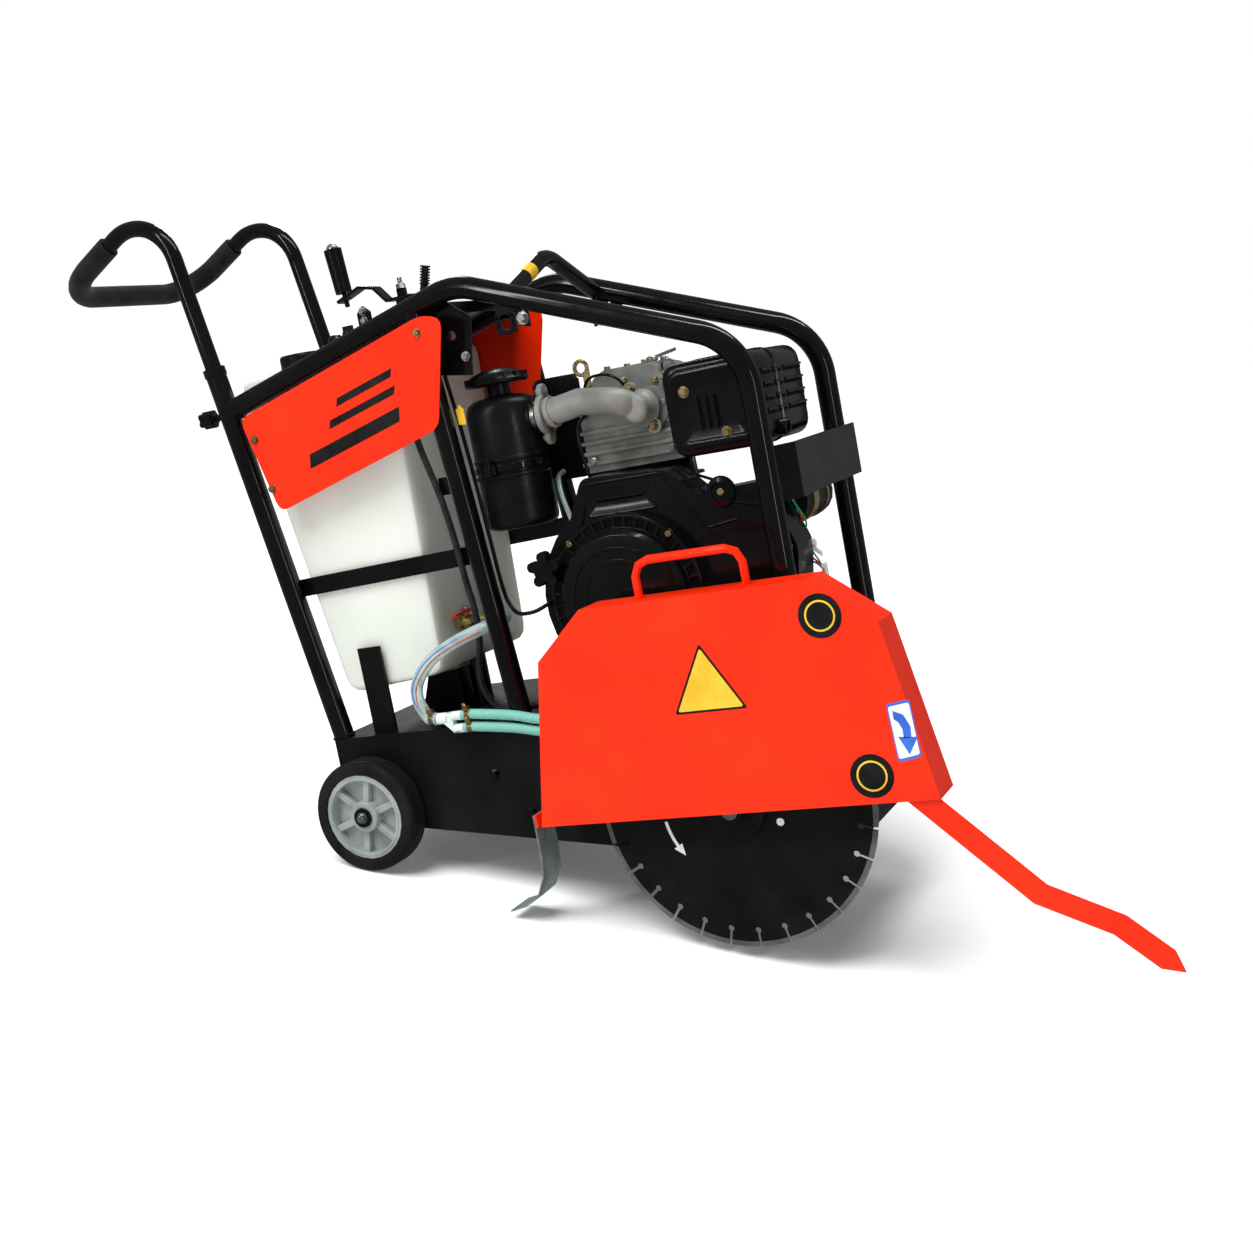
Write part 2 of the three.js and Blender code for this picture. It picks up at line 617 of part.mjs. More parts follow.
function guardBack() {
  const y0 = guardInnerY + gap;
  const y1 = y0 + 3;
  const plate = plateXZ([[-286, 0], [296, 5], [255, 234], [173, 297], [-151, 297], [-226, 234],
      [-270, 22], [-286, 22]], y0, y1);
  const standoffs = [[-150, 70], [100, 70]].map(([x, z]) => box(x - 20, x + 20, y1 - 1,
      -chassisHalf - gap, z - 15, z + 15));
  const pin = rodY(guardHinge[0], guardHinge[1], -264, y0 + 1, 5, 16);
  const flapHanger = box(-287, -284, -266, y0 + 1, 1, 19);
  const inlet = box(-246, -226, y1 - 1, -182, 112, 150);
  const stubs = [140, 122].map((z) => rod([-262, -190, z], [-240, -190, z], 7));
  const body = join(plate, standoffs, pin, flapHanger, inlet, stubs);
  return cut(body, rodY(0, 0, y0 - 5, y1 + 40, 52, 28));
}

// The flap hangs from its hanger and curls back at the bottom.
function splashFlap() {
  const line = [[-288.9, 19], [-289, -40], [-292, -72], [-306, -98], [-330, -113], [-356, -119]];
  return plateXZ(stripOutline(line, 2.6), -266, -212);
}

function pointerArm() {
  const bar = (a, b, thick) => {
    const length = Math.hypot(b[0] - a[0], b[2] - a[2]);
    const nx = (-(b[2] - a[2]) / length) * 15;
    const nz = ((b[0] - a[0]) / length) * 15;
    const corners = [a, b].flatMap(([x, y, z]) => [-thick / 2, thick / 2].flatMap((t) => [
      [x + nx, y + t, z + nz], [x - nx, y + t, z - nz]]));
    return convex(corners);
  };
  const nearY = guardOuterY + 8.2;
  const bend1 = [403, nearY, -129];
  const bend2 = [485, bladeY, -188];
  const root = [pointerPivot[0], nearY, pointerPivot[1]];
  const first = bar(root, bend1, 5);
  const middle = bar(bend1, bend2, 5.6);
  const last = bar(bend2, [537, bladeY, -235], 5);
  const tip = convex([-2.5, 2.5].flatMap((t) => [
    [527, bladeY + t, -246], [547, bladeY + t, -224], [556, bladeY + t, -252],
  ]));
  const disc = ([x, y, z]) => rodY(x, z, y - 2.5, y + 2.5, 15, 20);
  const body = join(first, middle, last, tip, disc(root), disc(bend1), disc(bend2));
  return cut(body, rodY(root[0], root[2], nearY - 9, nearY + 9, 6.6, 16));
}

// ---- engine -------------------------------------------------------------------------------------
function engineBlock() {
  const crankcase = plateXZ(roundedOutline([[-238, deckZ + gap], [-24, deckZ + gap], [-24, 330],
      [-60, 402], [-205, 402], [-238, 330]], 14),
    -59, 110);
  const finned = [[0, 395], [58, 395], [58, 414], [68, 414], [68, 418], [58, 418], [58, 440], [68, 440],
      [68, 444], [58, 444],
    [58, 469], [0, 469]];
  const barrel = latheZ(finned, -125, 11, 14);
  const shaftCover = rodY(engineX, engineZ, 105, 140, 52);
  const starter = rodY(85, 385, -55, 60, 34);
  const starterNose = rodY(85, 385, 55, 80, 22, 12);
  const starterArm = box(-40, 85, -15, 25, 352, 398);
  const tankShelf = join(box(-290, -200, 0, 100, 464, 469.4), box(-236, -196, 0, 100, 380, 469.4));
  return join(crankcase, barrel, shaftCover, starter, starterNose, starterArm, tankShelf);
}

function fanShroud() {
  const round = rodY(engineX, engineZ, -125, -60 - gap, 142, 30);
  const top = [[-276, 250], [-243, 357], [-186, 468], [-54, 461], [-14, 420], [81, 424], [119, 330],
      [96, 190], [-20, deckZ + 15]];
  const skirt = box(-250, -20, -125, -60 - gap, deckZ + gap, 200);
  return cut(join(round, plateXZ(roundedOutline(top, 12), -125, -60 - gap), skirt),
      box(-400, 300, -130, -50, 0, deckZ + gap));
}

function recoilCover() {
  const profile = [[0, -44.5], [60, -44.5], [92, -41], [98, -34], [98, -22], [116, -16], [119, 0], [0, 0]];
  return latheY(profile, 24).translate([engineX, -125 - gap, engineZ]);
}

function cylinderHead() {
  const block = box(-200, -50, -62, 72, 469 + 0.5, 560);
  const rocker = plateXZ(roundedOutline([[-186, 558], [-66, 558], [-72, 604], [-96, 612], [-160, 612],
      [-180, 600]], 8), -44, 58);
  const fins = [480, 495, 510, 525].map((z) => box(-206, -44, -68, 78, z, z + 5));
  const portBoss = rodY(-85, 548, -70, -58, 30, 20);
  return join(block, rocker, fins, portBoss);
}

function intakeElbow() {
  const path = bentPath([[-236, -91, 566], [-88, -106, 566], [-85, -70.5, 549]], 33);
  const pipe = sweep(path, 23, 10, 10);
  const inlet = rod([-242, -91, 566], [-232, -91, 566], 36, 16);
  const inletEars = [-1, 1].map((s) => rod([-242, -91, 566 + s * 36], [-232, -91, 566 + s * 36], 11, 12));
  const outlet = rodY(-85, 548, -78, -70.3, 34);
  return cut(join(pipe, inlet, inletEars, outlet), box(-300, 0, -70.3, 0, 400, 700));
}

function airCleaner() {
  const [x, y] = [-309, -88];
  const profile = [[0, 412], [50, 412], [54, 418], [54, 590], [46, 603], [18, 604], [18, 622], [46, 622],
      [47, 627], [32, 641],
    [0, 646]];
  const outlet = rod([x + 30, -91, 566], [-242.4, -91, 566], 19, 16);
  const latch = box(x - 8, x + 8, y - 60, y - 50, 484, 518);
  const band = rodZ(x, y, 495, 507, 57, 20);
  return join(latheZ(profile, x, y), band, outlet, latch);
}

function muffler() {
  const body = plateXZ(roundedOutline([[-36, 471], [102, 471], [102, 600], [-36, 600]], 20), -128, 66);
  const cover = plateXZ(roundedOutline([[-27, 480], [93, 480], [93, 591], [-27, 591]], 18), -136, -120);
  const manifold = rod([-43.6, 4, 540], [-30, 4, 540], 17, 16);
  const outlet = rod([96, -60, 490], [112, -60, 487], 12, 16);
  const pipe = rod([103, -60, 488.6], [120, -60, 485.4], 8, 16);
  return cut(join(body, cover, manifold, outlet), pipe);
}

function fuelTank() {
  const body = plateXZ(roundedOutline([[-318, 470], [-212, 470], [-206, 585], [-318, 585]], 18), -24, 125);
  const neck = rodZ(-278, 36, 580, 594, 25.5);
  const strapFoot = box(-250, -214, -10, 110, 469.7, 480);
  const mouth = rodZ(-278, 36, 535, 600, 20, 14);
  return cut(join(body, neck, strapFoot), mouth);
}

function fuelCap() {
  const [x, y] = [-278, 36];
  const cap = latheZ([[0, 595], [34, 595], [34, 612], [31, 618], [0, 618]], x, y);
  const skirt = rodZ(x, y, 587, 596, 34, 20);
  return cut(join(cap, skirt), rodZ(x, y, 580, 595, 27));
}

function starKnob() {
  const head = rodY(0, 0, -12, 6, 16, 12);
  const lobes = [0, 1, 2, 3, 4].map((i) => {
    const angle = (i * 2 * Math.PI) / 5 + 0.3;
    return rodY(18.5 * Math.cos(angle), 18.5 * Math.sin(angle), -11, 6, 8, 8);
  });
  return join(head, lobes, rodY(0, 0, 5, 32, 6, 12));
}

function enginePulley() {
  const shaft = rodY(engineX, engineZ, 140 + gap, beltY + 20, 12, 20);
  return join(shaft, pulleyAt(engineX, engineZ, enginePulleyRadius));
}

function driveBelt() {
  const small = [0, 0, arborPulleyRadius];
  const large = [engineX, engineZ, enginePulleyRadius];
  const outer = plateXZ(wrapOutline(small, large, 9), beltY - 11, beltY + 11);
  return cut(outer, plateXZ(wrapOutline(small, large, 1.8), beltY - 20, beltY + 20));
}

function beltGuard() {
  const small = [0, 0, arborPulleyRadius];
  const large = [engineX, engineZ, enginePulleyRadius];
  const shell = plateXZ(wrapOutline(small, large, 20), chassisHalf + gap, beltY + 28);
  const inside = plateXZ(wrapOutline(small, large, 17.5), chassisHalf - 5, beltY + 25.5);
  return cut(shell, inside);
}

function frontPlate() {
  const line = [[106, -139.5], [131, -104], [123, 60], [123, 192]];
  return plateXY(stripOutline(line, 3), 392, 468);
}

// ---- levers and switches ------------------------------------------------------------------------
const throttlePivot = [-400, 700];

function throttleLever() {
  const [x, z] = throttlePivot;
  const hub = rodY(x, z, -138.4, -131, 11, 16);
  const stalk = plateXZ([[x - 4, z], [x + 5, z], [x + 35, 783], [x + 26, 785]], -134, -131);
  const grip = rod([x + 30, -132.4, 778], [x + 38, -132.4, 806], 5.5, 12, 5);
  return cut(join(hub, stalk, grip), rodY(x, z, -145, -120, 4.4, 12));
}

function throttleBracket() {
  const [x, z] = throttlePivot;
  return join(rodY(x, z, -131.5, -118, 4, 12), box(x - 12, x + 12, -122, -118, z - 12, railZ(x)));
}

function stopButton() {
  const [x, y] = stopSpot;
  const cap = latheZ([[0, 734], [11.5, 734], [11.5, 739], [8, 744], [0, 746]], x, y, 20);
  return join(rodZ(x, y, railZ(x) - 18, 736, 5.6, 12), cap);
}

function keySwitch() {
  const [x, y] = keySpot;
  const base = switchBoxTop + gap;
  const cap = latheZ([[0, base], [11, base], [11.5, 740], [8, 748], [0, 750]], x, y, 20);
  const grip = box(x - 9, x + 9, y - 2, y + 2, 744, 754);
  return join(rodZ(x, y, railZ(x) - 18, base + 2, 5.6, 12), cap, grip);
}

// ---- hoses and cables ---------------------------------------------------------------------------
const waterHoseRoute = [[-423, -75, 281], [-398, -77, 281], [-371, -92, 281], [-366, -118, 281],
    [-385, -146, 275],
  [-420, -162, 264], [-462, -170, 244], [-490, -175, 215], [-496, -178, 190], [-488, -180, 168],
      [-479, -181, 156.5], [-466.4, -181, 155]];
const upperHoseRoute = [[-423, -181, 157], [-405, -181, 157], [-340, -184, 150], [-300, -188, 142],
    [-278, -190, 140], [-263, -190, 140]];
const lowerHoseRoute = [[-423, -181, 138], [-405, -181, 138], [-340, -184, 131], [-300, -188, 124],
    [-278, -190, 122], [-263, -190, 122]];
const harnessRoute = [[-436, -126, 730], [-432, -138, 660], [-428, -149, 600], [-420, -151, 550],
    [-402, -152, 473],
  [-393, -152, 405], [-390, -150, 350], [-392, -138, 300], [-400, -130, 255], [-413, -126, 204],
      [-406, -124, 165],
  [-380, -122, 148], [-313, -116, 148], [-268, -104, 152], [-254, -96, 160]];
const cableRoute = [[-374, -126, 688], [-372, -122, 644], [-362, -126, 578], [-351, -134, 500],
    [-346, -134, 420], [-341, -133, 332],
  [-329, -141, 303], [-312, -149, 291], [-287, -150, 291], [-270, -142, 297], [-266, -134, 299],
      [-266, -126, 299]];

function hoseSplitter() {
  const trunk = rod([-464.9, -181, 155], [-448, -181, 155], 8.5);
  const wedge = convex([-6, 6].flatMap((t) => [[-454, -181 + t, 148], [-454, -181 + t, 162],
      [-438, -181 + t, 132],
    [-438, -181 + t, 163]]));
  const legs = [157, 138].map((z) => rod([-440, -181, z], [-423.6, -181, z], 7));
  return join(trunk, wedge, legs);
}

// ---- the assembly -------------------------------------------------------------------------------
add('chassis', chassis(), blackPaint);
for (const [side, word] of [[-1, 'right'], [1, 'left']]) {
  add(`cage_loop_${word}`, cageLoop(side), blackPaint);
  add(`rear_upright_${word}`, rearUpright(side), blackPaint);
  add(`front_upright_${word}`, frontUpright(side), blackPaint);
  add(`side_panel_${word}`, sidePanel(side), orangePaint);
  add(`clamp_knob_${word}`, clampKnob(), blackPlastic, [rearX(654) - 40, side * frameY, 654]);
  add(`rear_tyre_${word}`, rearTyre(), rubber, [rearAxle[0], side * rearWheelY, rearAxle[1]]);
  add(`rear_hub_${word}`, rearHub(), castAluminium, [rearAxle[0], side * rearWheelY, rearAxle[1]]);
  add(`front_wheel_${word}`, frontWheel(), rubber, [frontAxle[0], side * frontWheelY, frontAxle[1]]);
}
add('lifting_bail', liftingBail(), blackPaint);
add('console_panel', join(consolePanel(), throttleBracket()), blackPaint);
add('front_plate', frontPlate(), blackPaint);
add('water_tank', waterTank(), milkyPlastic);
add('tank_cap', tankCap(), blackPlastic);
add('ball_valve', ballValve(), brass);
add('valve_lever', valveLever(), orangePaint);
add('handlebar', sweep(handlePath(), handleRadius, handleSteps, 10), blackPaint);
add('foam_grip', foamGrip(), rubber);
add('screw_tube', screwTube(), blackPaint);
add('crank_arm', crankArm(), steel);
add('crank_grip', crankGrip(), blackPlastic);
add('depth_rod', depthRod(), steel);
add('swing_arm', swingArm(), blackPaint);
add('saw_blade', sawBlade(), steel);
add('arbor_shaft', arborShaft(), steel);
add('blade_nut', bladeNut(), steel);
add('guard_cover', guardCover(), orangePaint);
add('guard_back', guardBack(), blackPaint);
add('splash_flap', splashFlap(), greenHose);
add('pointer_arm', pointerArm(), orangePaint);
add('engine_block', engineBlock(), castAluminium);
add('fan_shroud', fanShroud(), blackPaint);
add('recoil_cover', recoilCover(), blackPaint);
add('cylinder_head', cylinderHead(), castAluminium);
add('intake_elbow', intakeElbow(), castAluminium);
add('air_cleaner', airCleaner(), blackPlastic);
add('muffler', muffler(), blackPaint);
add('fuel_tank', fuelTank(), blackPaint);
add('fuel_cap', fuelCap(), blackPlastic);
add('star_knob', starKnob(), blackPlastic, [-250, -157.6, 350]);
add('engine_pulley', enginePulley(), steel);
add('drive_belt', driveBelt(), rubber);
add('belt_guard', beltGuard(), blackPaint);
add('throttle_lever', throttleLever(), blackPaint);
add('stop_button', stopButton(), blackPlastic);
add('key_switch', keySwitch(), blackPlastic);
add('water_hose', hose(waterHoseRoute, 9.5, 20, 8), milkyPlastic);
add('hose_splitter', hoseSplitter(), milkyPlastic);
add('guard_hose_upper', hose(upperHoseRoute, 7.5, 8, 8), greenHose);
add('guard_hose_lower', hose(lowerHoseRoute, 7.5, 8, 8), greenHose);
add('wiring_harness', hose(harnessRoute, 5, 22, 8), rubber);
add('throttle_cable', hose(cableRoute, 3, 24, 8), rubber);

machine.rotation.y = THREE.MathUtils.degToRad(-nosePitchDeg);
machine.updateMatrixWorld(true);
const extent = new THREE.Box3().setFromObject(machine, true);
const centre = extent.getCenter(new THREE.Vector3());
machine.position.set(-centre.x, -centre.y, -extent.min.z);

const saw = new THREE.Group();
saw.add(machine);
export default saw;
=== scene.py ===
"""Walk-behind concrete saw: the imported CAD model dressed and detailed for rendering.

Sizes and places are millimetres in the chassis frame: x forward, y to the operator's left and z up,
measured from the blade's axis. at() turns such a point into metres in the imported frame.
"""
import json
import math

import bmesh
import bpy
from mathutils import Matrix, Vector


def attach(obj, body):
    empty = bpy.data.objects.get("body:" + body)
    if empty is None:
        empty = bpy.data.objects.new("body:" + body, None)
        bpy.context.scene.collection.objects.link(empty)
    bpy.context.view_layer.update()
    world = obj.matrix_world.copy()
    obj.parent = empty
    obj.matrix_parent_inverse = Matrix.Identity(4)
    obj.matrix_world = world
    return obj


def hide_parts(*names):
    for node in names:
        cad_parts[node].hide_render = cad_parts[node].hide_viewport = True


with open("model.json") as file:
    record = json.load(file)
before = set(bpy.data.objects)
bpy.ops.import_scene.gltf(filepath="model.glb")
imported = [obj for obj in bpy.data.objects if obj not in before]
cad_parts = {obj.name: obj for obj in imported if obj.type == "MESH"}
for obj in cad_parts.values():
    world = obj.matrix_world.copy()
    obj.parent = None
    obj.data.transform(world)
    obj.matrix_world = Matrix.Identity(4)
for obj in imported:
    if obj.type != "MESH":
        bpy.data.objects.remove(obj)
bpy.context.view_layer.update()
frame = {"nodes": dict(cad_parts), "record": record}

# ---- the chassis frame ----
MM = 0.001
JOINTS = {joint["name"]: joint for joint in frame["record"]["behaviour"]["joints"]}
ORIGIN = Vector(JOINTS["arbor_spin"]["pos_m"])
FORWARD = Vector(JOINTS["clamp_turn_right"]["axis"])
UP = Vector(JOINTS["tank_cap_lift"]["axis"])
LEFT = UP.cross(FORWARD)


def at(x, y, z):
    return ORIGIN + (FORWARD * x + LEFT * y + UP * z) * MM


# ---- driving sizes ----
BLADE_RADIUS = 200
BLADE_Y = -221
SEGMENT_COUNT = 28
FRAME_Y = 157
TUBE_RADIUS = 16
HANDLE_RADIUS = 12.5
FOAM_RADIUS = 17
GRIP_START_X = -898
REAR_AXLE = (-608.5, 23)
REAR_WHEEL_Y = 197
REAR_WHEEL_RADIUS = 86
FRONT_AXLE = (-117.8, -135.9)
FRONT_WHEEL_Y = 90
ENGINE = (-137, 294)
GUARD_FACE_Y = -271
PANEL_FACE_Y = -175.8
LEFT_PANEL_Y = 140.4
SHROUD_FACE_Y = -125
SWITCH_BOX_TOP = 730
SIDES = (("right", -1), ("left", 1))
PANELS = (("right", -1, PANEL_FACE_Y), ("left", 1, LEFT_PANEL_Y))
RAIL_SLOPE = 0.2548
RAIL_NORMAL = (-0.2468, 0, 0.969)
FRONT_TUBE_X = 104.5
WELD_Z = 139.5
STICKER_STEP = 0.15
AHEAD = (1, 0, 0)
ASIDE = (0, 1, 0)
OUTWARD = (0, -1, 0)
UPRIGHT = (0, 0, 1)


def rear_tube_x(z):
    return -655.7 - 0.1603 * (z - 137.5)


def rail_z(x):
    return 675 + RAIL_SLOPE * (x + 674)


# ---- camera ----
def make_camera():
    yaw, rise, roll = (math.radians(angle) for angle in (23.77, 13.647, 2.5))
    side = Vector((math.cos(yaw), math.sin(yaw), 0))
    back = Vector((math.sin(yaw) * math.cos(rise), -math.cos(yaw) * math.cos(rise), math.sin(rise)))
    top = back.cross(side)
    right = side * math.cos(roll) + top * math.sin(roll)
    above = top * math.cos(roll) - side * math.sin(roll)
    data = bpy.data.cameras.new("camera")
    data.sensor_width = 36
    data.lens = 48.99
    camera = bpy.data.objects.new("camera", data)
    place = at(0, BLADE_Y, 0) + Vector((0.73887, -2.07093, 0.77631))
    turn = Matrix((right, above, back)).transposed()
    camera.matrix_world = Matrix.Translation(place) @ turn.to_4x4()
    bpy.context.collection.objects.link(camera)
    bpy.context.scene.camera = camera


make_camera()


# ---- material building blocks ----
def new_material(name, roughness, metallic=0.0, **sockets):
    material = bpy.data.materials.new(name)
    material.use_nodes = True
    shader = material.node_tree.nodes["Principled BSDF"]
    shader.inputs["Roughness"].default_value = roughness
    shader.inputs["Metallic"].default_value = metallic
    for label, value in sockets.items():
        shader.inputs[label.replace("_", " ")].default_value = value
    return material


def link(material, source, target):
    material.node_tree.links.new(source, target)


def grey(level):
    return (level, level, level)


def shader_of(material):
    return material.node_tree.nodes["Principled BSDF"]


def noise(material, scale, detail=4.0, stretch=(1, 1, 1)):
    nodes = material.node_tree.nodes
    place = nodes.new("ShaderNodeTexCoord")
    mapping = nodes.new("ShaderNodeMapping")
    mapping.inputs["Scale"].default_value = stretch
    texture = nodes.new("ShaderNodeTexNoise")
    texture.inputs["Scale"].default_value = scale
    texture.inputs["Detail"].default_value = detail
    link(material, place.outputs["Object"], mapping.inputs["Vector"])
    link(material, mapping.outputs["Vector"], texture.inputs["Vector"])
    return texture.outputs["Fac"]


def waves(material, scale, distortion=0.0, direction="Z"):
    nodes = material.node_tree.nodes
    place = nodes.new("ShaderNodeTexCoord")
    texture = nodes.new("ShaderNodeTexWave")
    texture.bands_direction = direction
    texture.inputs["Scale"].default_value = scale
    texture.inputs["Distortion"].default_value = distortion
    link(material, place.outputs["Object"], texture.inputs["Vector"])
    return texture.outputs["Fac"]


def colour_between(material, factor, dark, light, low=0.35, high=0.65):
    ramp = material.node_tree.nodes.new("ShaderNodeValToRGB")
    ramp.color_ramp.elements[0].position = low
    ramp.color_ramp.elements[0].color = (*dark, 1)
    ramp.color_ramp.elements[1].position = high
    ramp.color_ramp.elements[1].color = (*light, 1)
    link(material, factor, ramp.inputs["Fac"])
    link(material, ramp.outputs["Color"], shader_of(material).inputs["Base Color"])


def roughness_between(material, factor, low, high):
    spread = material.node_tree.nodes.new("ShaderNodeMapRange")
    spread.inputs["From Min"].default_value = 0.3
    spread.inputs["From Max"].default_value = 0.7
    spread.inputs["To Min"].default_value = low
    spread.inputs["To Max"].default_value = high
    link(material, factor, spread.inputs["Value"])
    link(material, spread.outputs["Result"], shader_of(material).inputs["Roughness"])


def bump(material, height, strength, depth_mm):
    node = material.node_tree.nodes.new("ShaderNodeBump")
    node.inputs["Strength"].default_value = strength
    node.inputs["Distance"].default_value = depth_mm * MM
    link(material, height, node.inputs["Height"])
    normal = shader_of(material).inputs["Normal"]
    if normal.is_linked:
        link(material, normal.links[0].from_socket, node.inputs["Normal"])
    link(material, node.outputs["Normal"], normal)


def enamel(name, dark, light, roughness=(0.1, 0.26), coat=0.6, gloss=0.25):
    """Sprayed gloss paint: faint orange peel, dust film and soft colour drift."""
    material = new_material(name, roughness[0], Coat_Weight=coat, Coat_Roughness=0.06,
                            Specular_IOR_Level=gloss)
    colour_between(material, noise(material, 9), dark, light)
    roughness_between(material, noise(material, 26, 6), *roughness)
    bump(material, noise(material, 420, 2), 0.1, 0.15)
    bump(material, noise(material, 30, 2), 0.12, 0.6)
    return material


def moulding(name, dark, light, roughness=(0.3, 0.5), grain=900, relief=0.25):
    """Moulded plastic or rubber with a fine skin grain."""
    material = new_material(name, roughness[0], Specular_IOR_Level=0.28)
    colour_between(material, noise(material, 14), dark, light)
    roughness_between(material, noise(material, 40, 5), *roughness)
    bump(material, noise(material, grain, 3), relief, 0.2)
    return material


def casting(name, dark, light, roughness=(0.38, 0.6), metallic=0.75, relief=0.45):
    """Sand or die cast metal: pebbled skin and blotchy stains."""
    material = new_material(name, roughness[0], metallic, Specular_IOR_Level=0.3)
    colour_between(material, noise(material, 22, 6), dark, light, 0.3, 0.7)
    roughness_between(material, noise(material, 60, 5), *roughness)
    bump(material, noise(material, 520, 3), relief, 0.35)
    bump(material, noise(material, 70, 3), 0.2, 1.2)
    return material


def machined(name, dark, light, roughness=(0.18, 0.36), stretch=(1, 1, 1)):
    """Turned, ground or plated metal with fine tool marks."""
    material = new_material(name, roughness[0], 1.0)
    colour_between(material, noise(material, 30, 5), dark, light)
    roughness_between(material, noise(material, 160, 4, stretch), *roughness)
    bump(material, noise(material, 700, 2, stretch), 0.12, 0.12)
    return material


def tank_plastic():
    """Natural polyethylene: milky, slightly see-through, with a waxy skin and blotchy colour drift."""
    material = new_material("tank_plastic", 0.34, Subsurface_Weight=0.55, Subsurface_Scale=0.04)
    shader_of(material).inputs["Subsurface Radius"].default_value = (1.0, 1.0, 0.9)
    colour_between(material, noise(material, 5, 5), (0.62, 0.66, 0.60), (0.78, 0.81, 0.75), 0.25, 0.75)
    roughness_between(material, noise(material, 30, 5), 0.28, 0.42)
    bump(material, noise(material, 16, 3), 0.25, 2.5)
    bump(material, noise(material, 600, 2), 0.08, 0.2)
    return material


def clear_hose():
    material = new_material("clear_hose", 0.12, Transmission_Weight=0.55, IOR=1.42)
    colour_between(material, noise(material, 60, 3), (0.50, 0.68, 0.64), (0.70, 0.86, 0.82))
    roughness_between(material, noise(material, 120, 3), 0.08, 0.2)
    bump(material, waves(material, 260, 1.0), 0.12, 0.3)
    return material


def braided_hose():
    material = new_material("braided_hose", 0.2, Transmission_Weight=0.15)
    colour_between(material, waves(material, 240, 2.0, "X"), (0.10, 0.42, 0.34), (0.30, 0.66, 0.56))
    roughness_between(material, noise(material, 120, 3), 0.14, 0.3)
    bump(material, waves(material, 240, 2.0, "X"), 0.3, 0.4)
    return material


def flap_sheet():
    material = new_material("flap_sheet", 0.25, Transmission_Weight=0.25)
    colour_between(material, noise(material, 18, 4), (0.13, 0.17, 0.16), (0.26, 0.32, 0.30))
    roughness_between(material, noise(material, 40, 4), 0.16, 0.34)
    bump(material, noise(material, 26, 3), 0.3, 2.0)
    return material


def wound_sleeve():
    material = new_material("wound_sleeve", 0.45)
    colour_between(material, noise(material, 60, 3), (0.010, 0.010, 0.011), (0.024, 0.024, 0.026))
    roughness_between(material, noise(material, 60, 3), 0.35, 0.55)
    bump(material, waves(material, 130, 0.6), 0.6, 1.2)
    return material


def foam():
    material = new_material("foam", 0.85, Sheen_Weight=0.08, Specular_IOR_Level=0.25)
    colour_between(material, noise(material, 30, 4), (0.004, 0.004, 0.005), (0.011, 0.011, 0.012))
    roughness_between(material, noise(material, 50, 4), 0.7, 0.95)
    bump(material, noise(material, 1400, 3), 0.5, 0.5)
    bump(material, noise(material, 35, 3), 0.25, 1.5)
    return material


def printed(name, dark, light, roughness=(0.22, 0.34)):
    """Ink on a vinyl sticker or stencilled paint."""
    material = new_material(name, roughness[0])
    colour_between(material, noise(material, 35, 4), dark, light)
    roughness_between(material, noise(material, 60, 4), *roughness)
    bump(material, noise(material, 500, 2), 0.05, 0.1)
    return material


BLACK = enamel("black_enamel", (0.0015, 0.0016, 0.002), (0.004, 0.004, 0.0045), (0.08, 0.22), 0.35, 0.2)
DECK = enamel("deck_enamel", (0.003, 0.003, 0.0035), (0.008, 0.008, 0.009), (0.26, 0.44), 0.1, 0.15)
ORANGE = enamel("orange_enamel", (0.80, 0.020, 0.0012), (0.88, 0.027, 0.002), (0.3, 0.46), 0.08, 0.16)
BLADE = casting("blade_core", (0.002, 0.002, 0.0025), (0.006, 0.006, 0.0065), (0.36, 0.56), 0.0, 0.12)
SEGMENT = casting("diamond_segment", (0.16, 0.17, 0.17), (0.36, 0.37, 0.36), (0.36, 0.56), 0.8, 0.6)
STEEL = machined("bare_steel", (0.34, 0.34, 0.33), (0.60, 0.60, 0.58))
ZINC = machined("zinc_plate", (0.50, 0.51, 0.52), (0.78, 0.79, 0.80))
YELLOW_ZINC = machined("yellow_zinc", (0.50, 0.36, 0.13), (0.82, 0.66, 0.34))
BRASS = machined("brass", (0.50, 0.33, 0.10), (0.80, 0.60, 0.26))
ALLOY = casting("wheel_alloy", (0.30, 0.34, 0.32), (0.50, 0.55, 0.52), (0.32, 0.52), 0.4, 0.35)
HEAD_CAST = casting("head_casting", (0.16, 0.17, 0.155), (0.36, 0.37, 0.34), (0.42, 0.62), 0.55)
ELBOW_CAST = casting("elbow_casting", (0.24, 0.25, 0.23), (0.44, 0.45, 0.42), (0.46, 0.66), 0.5, 0.5)
ENGINE_BLACK = casting("black_casting", (0.002, 0.002, 0.0025), (0.007, 0.007, 0.008), (0.3, 0.5), 0.0, 0.4)
COVER = enamel("satin_cover", (0.0015, 0.0015, 0.002), (0.0045, 0.0045, 0.005), (0.16, 0.3), 0.25, 0.2)
# Near-black material for painted shade inside slots and louvre openings.
SLOT_SHADE = moulding("slot_shadow", grey(0.001), grey(0.002), (0.8, 0.9))
TYRE = moulding("tyre_rubber", (0.004, 0.004, 0.0045), grey(0.012), (0.42, 0.62), 700, 0.4)
PLASTIC = moulding("black_plastic", (0.002, 0.002, 0.0025), (0.006, 0.006, 0.0065), (0.22, 0.4))
KNOB = moulding("gloss_plastic", grey(0.004), grey(0.008), (0.06, 0.14), 400, 0.05)
RUBBER = moulding("black_rubber", grey(0.008), grey(0.020), (0.5, 0.7), 600, 0.4)
VINYL = moulding("red_vinyl", (0.42, 0.008, 0.008), (0.62, 0.016, 0.014), (0.18, 0.3), 400, 0.1)
MILKY = moulding("milky_plastic", (0.50, 0.60, 0.56), (0.72, 0.80, 0.76), (0.2, 0.35), 500, 0.1)
TANK = tank_plastic()
